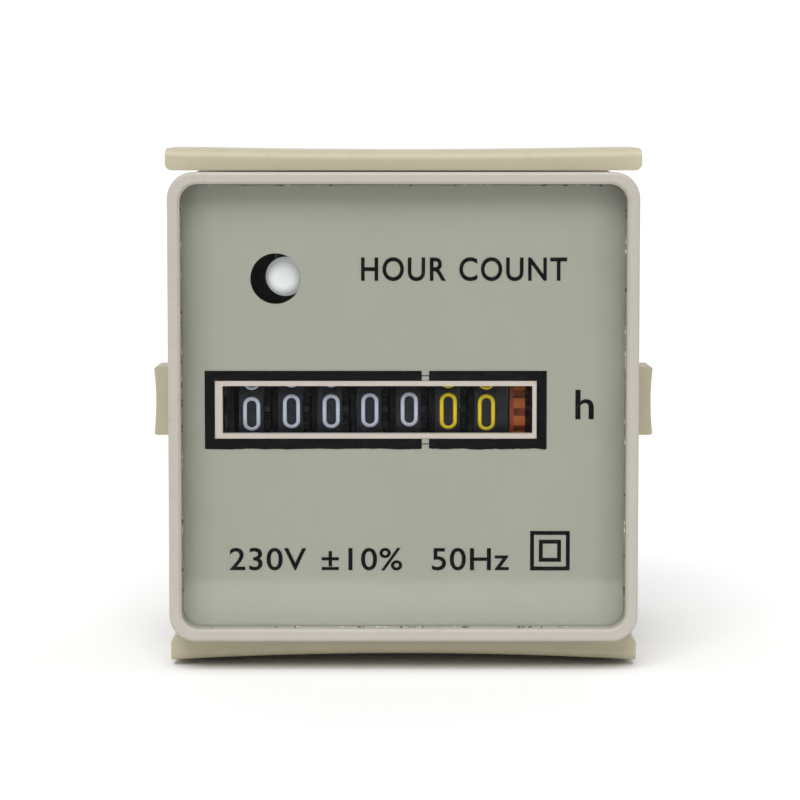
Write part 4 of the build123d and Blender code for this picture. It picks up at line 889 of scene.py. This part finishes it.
class HourMeterStage(bpy.types.PropertyGroup):
    """Camera and light."""

    distance: length("Distance", "Camera to bezel", 300.0)
    elevation: bpy.props.FloatProperty(
        name="Elevation",
        description="Camera's height over the level",
        default=math.radians(4.5),
        subtype="ANGLE",
    )
    lens: bpy.props.FloatProperty(
        name="Lens", description="Focal length in millimetres", default=132.6
    )
    aim: places("Aim", "Point that stands in the picture's middle", -0.36, -4.0, 0.85)
    sun: bpy.props.FloatProperty(
        name="Key light", description="Strength of the soft key light", default=2.0
    )
    sky: bpy.props.FloatProperty(
        name="Fill light", description="Strength of the surrounding light", default=0.6
    )


def tints(context):
    """The chosen colours by name."""
    group = context.scene.hour_meter_colours
    return {name: tuple(getattr(group, name)) for name in HourMeterColours.__annotations__}


# ---------------------------------------------------------------- operators: finishes of CAD parts
def paint(material, *nodes):
    """Makes a material the only one of the given CAD parts."""
    for name in nodes:
        data = frame["nodes"][name].data
        data.materials.clear()
        data.materials.append(material)


class HOURMETER_OT_case(bpy.types.Operator):
    """Finish of the case, the rear cover and the clamp frame"""

    bl_idname = "object.hour_meter_case"
    bl_label = "Case and Clamp"

    def execute(self, context):
        tint = tints(context)
        surround = moulded("surround_moulding", tint["surround"], 0.5, mottling=0.04, dirt=0.15)
        screw = sheet_metal("plated_screw", tint["cover_screw"], 0.3, brushing=(3.0, 3.0, 3.0))
        blade = sheet_metal("tinned_blade", tint["blade"], 0.28, brushing=(5.0, 0.12, 1.0))
        paint(moulded("case_moulding", tint["case"]), "case_shell")
        paint(
            moulded("clamp_moulding", tint["clamp"], 0.48),
            "clamp_frame", "pawl_left", "pawl_right",
        )
        paint(moulded("cover_moulding", tint["cover"], 0.5), "rear_cover")
        paint(surround, "window_surround")
        paint(screw, "cover_screws")
        paint(blade, "terminal_blade_left", "terminal_blade_right")
        return {"FINISHED"}


class HOURMETER_OT_front(bpy.types.Operator):
    """Finish of the clear front, the printed plate and the run lamp"""

    bl_idname = "object.hour_meter_front"
    bl_label = "Front, Plate and Lamp"

    def execute(self, context):
        tint = tints(context)
        half_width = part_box("dial_plate")[1][0] / MM
        paint(clear_plate("clear_front"), "front_lens")
        paint(printed_plate("plate_print", tint["plate"], half_width), "dial_plate")
        paint(milky_lamp("milky_lamp", tint["lamp"]), "run_lamp")
        paint(
            sheet_metal("tinned_wire", tint["lead"], 0.3),
            "run_lamp_leads", "component_leads",
        )
        return {"FINISHED"}


class HOURMETER_OT_counter(bpy.types.Operator):
    """Finish of the wheels, their shafts and the counter's frame"""

    bl_idname = "object.hour_meter_counter"
    bl_label = "Counter"

    def execute(self, context):
        tint = tints(context)
        wheel = moulded("wheel_moulding", tint["wheel"], 0.4, mottling=0.25, dirt=0.4)
        low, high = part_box("indicator_wheel")
        indicator = indicator_ring(
            "indicator_ring",
            tint["indicator"],
            low[0] / MM + INDICATOR_FACE,
            high[0] / MM - INDICATOR_GEAR,
        )
        paint(wheel, *(f"number_wheel_{name}" for name in WHEELS))
        paint(
            moulded("pinion_moulding", tint["pinion"], 0.4),
            *(f"carry_pinion_{number}" for number in range(1, CARRY_PINIONS + 1)),
        )
        paint(indicator, "indicator_wheel")
        # painted shade: dark shafts, so that no highlight shows in the gaps between the wheels
        paint(turned_metal("blued_shaft", tint["shaft"]), "wheel_shaft", "carry_shaft")
        paint(turned_metal("tie_bar", tint["tie_bar"]), "counter_tie_bars")
        # painted shade: the end plate is near black so that it reads as shade beside the last wheel
        paint(sheet_metal("blackened_plate", tint["end_plate"], 0.5), "counter_end_plate")
        paint(sheet_metal("spring_clip", tint["clip"], 0.32), "shaft_clips")
        return {"FINISHED"}


class HOURMETER_OT_train(bpy.types.Operator):
    """Finish of the gears, their arbors and the two plates"""

    bl_idname = "object.hour_meter_train"
    bl_label = "Gear Train"

    def execute(self, context):
        tint = tints(context)
        gear = moulded("gear_moulding", tint["gear"], 0.35, mottling=0.03, dirt=0.2)
        screw = sheet_metal("train_screw", tint["train_screw"], 0.3, brushing=(3.0, 3.0, 3.0))
        paint(gear, "gear_1", "gear_2", "gear_3", "gear_4")
        paint(
            turned_metal("turned_brass", tint["brass"]),
            "clutch_pinion", "output_pinion", "rotor_pinion", "plate_pillars", "motor_bushes",
        )
        paint(
            turned_metal("arbor_steel", tint["arbor"], 0.2),
            "gear_arbors", "rotor_shaft", "clutch_spring",
        )
        paint(
            sheet_metal("train_plate", tint["train_plate"], 0.36),
            "train_plate_inner", "train_plate_outer",
        )
        paint(screw, "plate_screws", "motor_rivets")
        return {"FINISHED"}


class HOURMETER_OT_motor(bpy.types.Operator):
    """Finish of the synchronous motor"""

    bl_idname = "object.hour_meter_motor"
    bl_label = "Motor"

    def execute(self, context):
        tint = tints(context)
        can = sheet_metal("drawn_can", tint["can"], 0.4, brushing=(0.2, 3.0, 3.0))
        sleeve = moulded("wire_sleeve", tint["sleeve"], 0.45, mottling=0.05, dirt=0.2)
        paint(can, "motor_can", "motor_pole_plate")
        paint(moulded("bobbin_moulding", tint["bobbin"], 0.5), "coil_bobbin")
        paint(wound_copper("enamelled_wire", tint["winding"]), "coil_winding")
        paint(ferrite("sintered_ring", tint["magnet"]), "rotor_magnet")
        paint(moulded("hub_moulding", tint["hub"], 0.4), "rotor_hub")
        paint(sleeve, "motor_wires")
        return {"FINISHED"}


class HOURMETER_OT_board(bpy.types.Operator):
    """Finish of the circuit board and its parts"""

    bl_idname = "object.hour_meter_board"
    bl_label = "Circuit Board"

    def execute(self, context):
        tint = tints(context)
        low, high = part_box("resistors")
        lacquer = banded_resistor("resistor_lacquer", tint["resistor"], low[0], high[0])
        paint(solder_mask("board_lacquer", tint["board"]), "circuit_board")
        paint(lacquer, "resistors")
        paint(moulded("diode_epoxy", tint["diode"], 0.5), "diode")
        paint(moulded("capacitor_box", tint["capacitor"], 0.45), "capacitor")
        return {"FINISHED"}


# ---------------------------------------------------------------- operators: new pieces
def plate_front():
    """The y of the printed plate's front face."""
    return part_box("dial_plate")[0][1]


def print_on_plate(context, obj, name):
    """Hands over a printed piece in the plate's black ink, which is made once."""
    black = bpy.data.materials.get("black_ink")
    if black is None:
        black = ink("black_ink", tints(context)["ink"], 0.3, 0.55)
    hand_over(obj, name, "case", black)


class HOURMETER_OT_vent_gauze(bpy.types.Operator):
    """Dark gauze glued inside the rear cover, over the vents: a sheet that stands in for shade, so
    the view through the gaps between the wheels stays dark
    """

    bl_idname = "mesh.hour_meter_vent_gauze"
    bl_label = "Vent Gauze"

    def execute(self, context):
        inner_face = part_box("rear_cover")[0][1]
        gauze = front_plane(*GAUZE_X, *GAUZE_Z, inner_face)
        raise_front(gauze, GAUZE_THICKNESS)
        hand_over(gauze, "vent_gauze", "case", shade_gauze("gauze_weave"))
        return {"FINISHED"}


class HOURMETER_OT_window_band(bpy.types.Operator):
    """Black band printed round the window, broken at the point between hours and fractions"""

    bl_idname = "mesh.hour_meter_window_band"
    bl_label = "Window Band"

    def execute(self, context):
        sizes = context.scene.hour_meter_print
        low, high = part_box("window_surround")
        outside = sizes.band - sizes.flange
        bottom, top = low[2] - outside, high[2] + outside
        plane = front_plane(low[0] - outside, high[0] + outside, bottom, top, plate_front())
        make_frame(sizes.band)
        gap = (sizes.point_x - sizes.point_gap / 2, sizes.point_x + sizes.point_gap / 2)
        middles = (top - sizes.band / 2, bottom + sizes.band / 2)
        for x in gap:
            cut_through((x, 0, 0), (1, 0, 0))
        for z in middles:
            for offset in (-DASH / 2, DASH / 2):
                cut_through((0, 0, z + offset), (0, 0, 1))

        def in_gap(centre):
            off_dash = all(abs(centre.z - z) > DASH / 2 for z in middles)
            return gap[0] < centre.x < gap[1] and off_dash

        choose_faces(plane, in_gap)
        bpy.ops.mesh.delete(type="FACE")
        self.fray(plane, bottom)
        raise_front(plane, sizes.film)
        print_on_plate(context, plane, "window_band")
        return {"FINISHED"}

    def fray(self, plane, edge_z):
        """Lets the ink's lower edge wander by a few hundredths."""
        bpy.ops.mesh.select_mode(type="EDGE")
        bpy.ops.mesh.select_all(action="DESELECT")
        bpy.ops.object.mode_set(mode="OBJECT")
        heights = [v.co.z for v in plane.data.vertices]
        for edge in plane.data.edges:
            edge.select = all(abs(heights[i] - edge_z) < ON_EDGE for i in edge.vertices)
        bpy.ops.object.mode_set(mode="EDIT")
        bpy.ops.mesh.subdivide(number_cuts=FRAY_CUTS)
        bpy.ops.object.mode_set(mode="OBJECT")
        wander = random.Random(FRAY_SEED)
        drift = 0
        for vertex in sorted(plane.data.vertices, key=lambda v: v.co.x):
            if abs(vertex.co.z - edge_z) < ON_EDGE:
                drift = FRAY_KEPT * drift + wander.uniform(*FRAY_STEP)
                vertex.co.z += drift


class HOURMETER_OT_lettering(bpy.types.Operator):
    """Title, rating and unit printed on the plate"""

    bl_idname = "mesh.hour_meter_lettering"
    bl_label = "Lettering"

    def execute(self, context):
        sizes = context.scene.hour_meter_print
        # each line's name, the space between its letters and what its strokes gain in weight
        for name, spacing, weight in (
            ("title", 1.12, 0.016),
            ("rating", 1.06, 0.010),
            ("unit", 1.0, 0.012),
        ):
            words, ends, heights = (getattr(sizes, name + part) for part in ("", "_x", "_z"))
            line = front_text(words, ends, heights, plate_front(), sizes.film, spacing, weight)
            print_on_plate(context, line, name)
        return {"FINISHED"}


class HOURMETER_OT_insulation_mark(bpy.types.Operator):
    """Double square that stands for double insulation"""

    bl_idname = "mesh.hour_meter_insulation_mark"
    bl_label = "Insulation Mark"

    def execute(self, context):
        sizes = context.scene.hour_meter_print
        x, z = sizes.mark_centre
        squares = []
        for side in (sizes.mark_size, sizes.mark_size * INNER_SQUARE):
            half = side / 2
            plane = front_plane(x - half, x + half, z - half, z + half, plate_front())
            make_frame(sizes.mark_size * SQUARE_LINE)
            squares.append(raise_front(plane, sizes.film))
        print_on_plate(context, joined(squares), "insulation_mark")
        return {"FINISHED"}


class HOURMETER_OT_figures(bpy.types.Operator):
    """Hot-stamped figures on the seven number wheels"""

    bl_idname = "mesh.hour_meter_figures"
    bl_label = "Figures"

    def execute(self, context):
        sizes = context.scene.hour_meter_figures
        tint = tints(context)
        low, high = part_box("number_wheel_ten_thousands")
        radius = (high[2] - low[2]) / 2
        fraction = figure_ring(sizes, sizes.fraction_height, radius)
        whole = figure_ring(sizes, sizes.figure_height, radius)
        foils = {
            whole: ink("whole_hour_foil", tint["whole"], 0.22, 0.5),
            fraction: ink("fraction_foil", tint["fraction"], 0.15, 0.45),
        }
        axis = joint_place("hundredths_spin")
        for name, (turned, shift) in WHEELS.items():
            model = fraction if name in FRACTION_WHEELS else whole
            ring = model.copy()
            ring.data = model.data.copy()
            context.scene.collection.objects.link(ring)
            only(ring)
            ring.location = (self.band_middle(name) + shift * MM, axis[1] - radius, axis[2])
            bpy.ops.object.transform_apply(location=True, rotation=False, scale=False)
            bpy.ops.object.mode_set(mode="EDIT")
            bpy.ops.mesh.select_all(action="SELECT")
            bpy.ops.transform.rotate(
                value=-math.radians(turned), orient_axis="X", center_override=tuple(axis)
            )
            bpy.ops.object.mode_set(mode="OBJECT")
            hand_over(ring, f"figures_{name}", f"{name}_wheel", foils[model])
            bpy.ops.object.shade_smooth()
        bpy.data.objects.remove(whole)
        bpy.data.objects.remove(fraction)
        return {"FINISHED"}

    def band_middle(self, name):
        """The middle of a wheel's number band. The last wheel has its carry gear beside the band
        but no carry teeth; the others have both, and stand one pitch apart."""
        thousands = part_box("number_wheel_thousands")
        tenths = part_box("number_wheel_tenths")
        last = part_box("number_wheel_ten_thousands")
        order = list(WHEELS)
        pitches = order.index("thousands") - order.index("tenths")
        pitch = (tenths[0][0] - thousands[0][0]) / pitches
        width = last[1][0] - last[0][0]
        teeth = (thousands[1][0] - thousands[0][0]) - width
        steps = len(WHEELS) - 1 - order.index(name)
        return last[0][0] + (width - teeth) / 2 + steps * pitch


class HOURMETER_OT_edge_crumbs(bpy.types.Operator):
    """Dust and chips caught in the gap round the clear front"""

    bl_idname = "mesh.hour_meter_edge_crumbs"
    bl_label = "Edge Crumbs"

    def execute(self, context):
        low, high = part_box("front_lens")
        scatter = random.Random(CRUMB_SEED)
        crumbs = []
        for number in range(CRUMBS):
            along = scatter.uniform(*CRUMB_SPAN)
            radius = scatter.uniform(*CRUMB_RADIUS)
            x = low[0] + along * (high[0] - low[0])
            z = low[2] + along * (high[2] - low[2])
            upright, far_side = CRUMB_SIDES[number % len(CRUMB_SIDES)]
            if upright:
                x = high[0] - CRUMB_INSET if far_side else low[0] + CRUMB_INSET
            else:
                z = high[2] - CRUMB_INSET if far_side else low[2] + CRUMB_INSET
            deselect()
            bpy.ops.mesh.primitive_ico_sphere_add(
                subdivisions=1, radius=radius, location=(x, low[1], z)
            )
            crumb = bpy.context.object
            stretch = scatter.uniform(*CRUMB_STRETCH)
            crumb.scale = (1, CRUMB_DEPTH, stretch) if upright else (stretch, CRUMB_DEPTH, 1)
            bpy.ops.object.mode_set(mode="EDIT")
            bpy.ops.transform.vertex_random(offset=radius * CRUMB_ROUGHNESS, seed=number)
            bpy.ops.object.mode_set(mode="OBJECT")
            crumbs.append(settle(crumb))
        hand_over(joined(crumbs), "edge_crumbs", "case", edge_dust("edge_dust"))
        return {"FINISHED"}


class HOURMETER_OT_stage(bpy.types.Operator):
    """Pale floor, soft light and the camera"""

    bl_idname = "object.hour_meter_stage"
    bl_label = "Stage"

    def execute(self, context):
        sizes = context.scene.hour_meter_stage
        self.floor()
        self.card()
        self.light(context, sizes)
        self.sky(context, sizes)
        self.camera(context, sizes)
        return {"FINISHED"}

    def floor(self):
        """Wide pale paper just under the meter."""
        low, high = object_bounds()
        deselect()
        bpy.ops.mesh.primitive_plane_add(size=FLOOR_SIZE, location=(0, 0, low[2] - FLOOR_GAP))
        floor = bpy.context.object
        floor.name = "floor"
        f = Finish("floor_paper")
        tint = f.blend(f.noise(0.02, 2.0), (0.95, 0.95, 0.95, 1), (0.98, 0.98, 0.98, 1))
        paper = f.made(Base_Color=tint, Roughness=0.9, Specular_IOR_Level=0.1)
        floor.data.materials.append(paper)
        floor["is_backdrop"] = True

    def card(self):
        """A black card that only mirror-like surfaces see. It slopes up from the floor under the
        camera and keeps the clear front free of reflections."""
        middle = [(near + far) / 2 for near, far in zip(CARD_NEAR, CARD_FAR)]
        rise = math.atan2(CARD_FAR[1] - CARD_NEAR[1], CARD_FAR[0] - CARD_NEAR[0])
        deselect()
        bpy.ops.mesh.primitive_plane_add(size=1, location=(0, *middle), rotation=(rise, 0, 0))
        card = bpy.context.object
        card.scale = (CARD_WIDTH, math.dist(CARD_NEAR, CARD_FAR), 1)
        card.name = "black_card"
        black = Finish("card_black").made(Base_Color=(0.004, 0.004, 0.005, 1), Roughness=1.0)
        card.data.materials.append(black)
        card.visible_camera = False
        card.visible_diffuse = False
        card.visible_shadow = False
        card.visible_transmission = False
        card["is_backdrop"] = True

    def light(self, context, sizes):
        """One broad soft key from above the camera."""
        lamp = bpy.data.lights.new("key", "SUN")
        lamp.energy = sizes.sun
        lamp.angle = KEY_SOFTNESS
        key = bpy.data.objects.new("key", lamp)
        key.rotation_euler = KEY_TURN
        context.scene.collection.objects.link(key)

    def sky(self, context, sizes):
        """Even surrounding light, with a bright backdrop behind the meter."""
        world = bpy.data.worlds.new("studio")
        sky = NodeTree(world)
        direction = sky.add("ShaderNodeTexCoord", output="Generated")
        depth = sky.add("ShaderNodeSeparateXYZ", sockets={0: direction}, output="Y")
        strength = sky.add(
            "ShaderNodeMapRange",
            sockets={
                "Value": depth,
                "From Min": BACKDROP_RISE[0],
                "From Max": BACKDROP_RISE[1],
                "To Min": sizes.sky,
                "To Max": BACKDROP_LIGHT,
            },
        )
        light = sky.add("ShaderNodeBackground", sockets={"Color": WHITE, "Strength": strength})
        sky.add("ShaderNodeOutputWorld", sockets={"Surface": light})
        context.scene.world = world
        context.scene.view_settings.view_transform = "Standard"

    def camera(self, context, sizes):
        """The camera, in front and a little above."""
        data = bpy.data.cameras.new("camera")
        data.lens = sizes.lens
        data.sensor_width = SENSOR_WIDTH
        data.clip_start, data.clip_end = CLIP_RANGE
        camera = bpy.data.objects.new("camera", data)
        lift = sizes.elevation
        x, y, z = sizes.aim
        camera.location = (
            x,
            y - sizes.distance * math.cos(lift),
            z + sizes.distance * math.sin(lift),
        )
        camera.rotation_euler = (math.pi / 2 - lift, 0, 0)
        context.scene.collection.objects.link(camera)
        context.scene.camera = camera


GROUPS = {
    "hour_meter_print": HourMeterPrint,
    "hour_meter_figures": HourMeterFigures,
    "hour_meter_colours": HourMeterColours,
    "hour_meter_stage": HourMeterStage,
}

STEPS = (
    HOURMETER_OT_case,
    HOURMETER_OT_front,
    HOURMETER_OT_counter,
    HOURMETER_OT_train,
    HOURMETER_OT_motor,
    HOURMETER_OT_board,
    HOURMETER_OT_vent_gauze,
    HOURMETER_OT_window_band,
    HOURMETER_OT_lettering,
    HOURMETER_OT_insulation_mark,
    HOURMETER_OT_figures,
    HOURMETER_OT_edge_crumbs,
    HOURMETER_OT_stage,
)


class HOURMETER_PT_sidebar(bpy.types.Panel):
    """Lists the meter's steps, sizes and colours"""

    bl_label = "Hour Meter"
    bl_idname = "HOURMETER_PT_sidebar"
    bl_space_type = "VIEW_3D"
    bl_region_type = "UI"
    bl_category = "Hour Meter"

    def draw(self, context):
        for step in STEPS:
            self.layout.operator(step.bl_idname)
        for group, kind in GROUPS.items():
            column = self.layout.column(align=True)
            for name in kind.__annotations__:
                column.prop(getattr(context.scene, group), name)


def register():
    """Registers the sizes, the steps and the sidebar."""
    for name, group in GROUPS.items():
        bpy.utils.register_class(group)
        setattr(bpy.types.Scene, name, bpy.props.PointerProperty(type=group))
    for step in STEPS:
        bpy.utils.register_class(step)
    bpy.utils.register_class(HOURMETER_PT_sidebar)


def unregister():
    """Takes all of it away again."""
    bpy.utils.unregister_class(HOURMETER_PT_sidebar)
    for step in reversed(STEPS):
        bpy.utils.unregister_class(step)
    for name, group in GROUPS.items():
        delattr(bpy.types.Scene, name)
        bpy.utils.unregister_class(group)


def main():
    """Dresses the meter from start to end."""
    register()
    for step in STEPS:
        area, name = step.bl_idname.split(".")
        getattr(getattr(bpy.ops, area), name)()


if __name__ == "__main__":
    main()
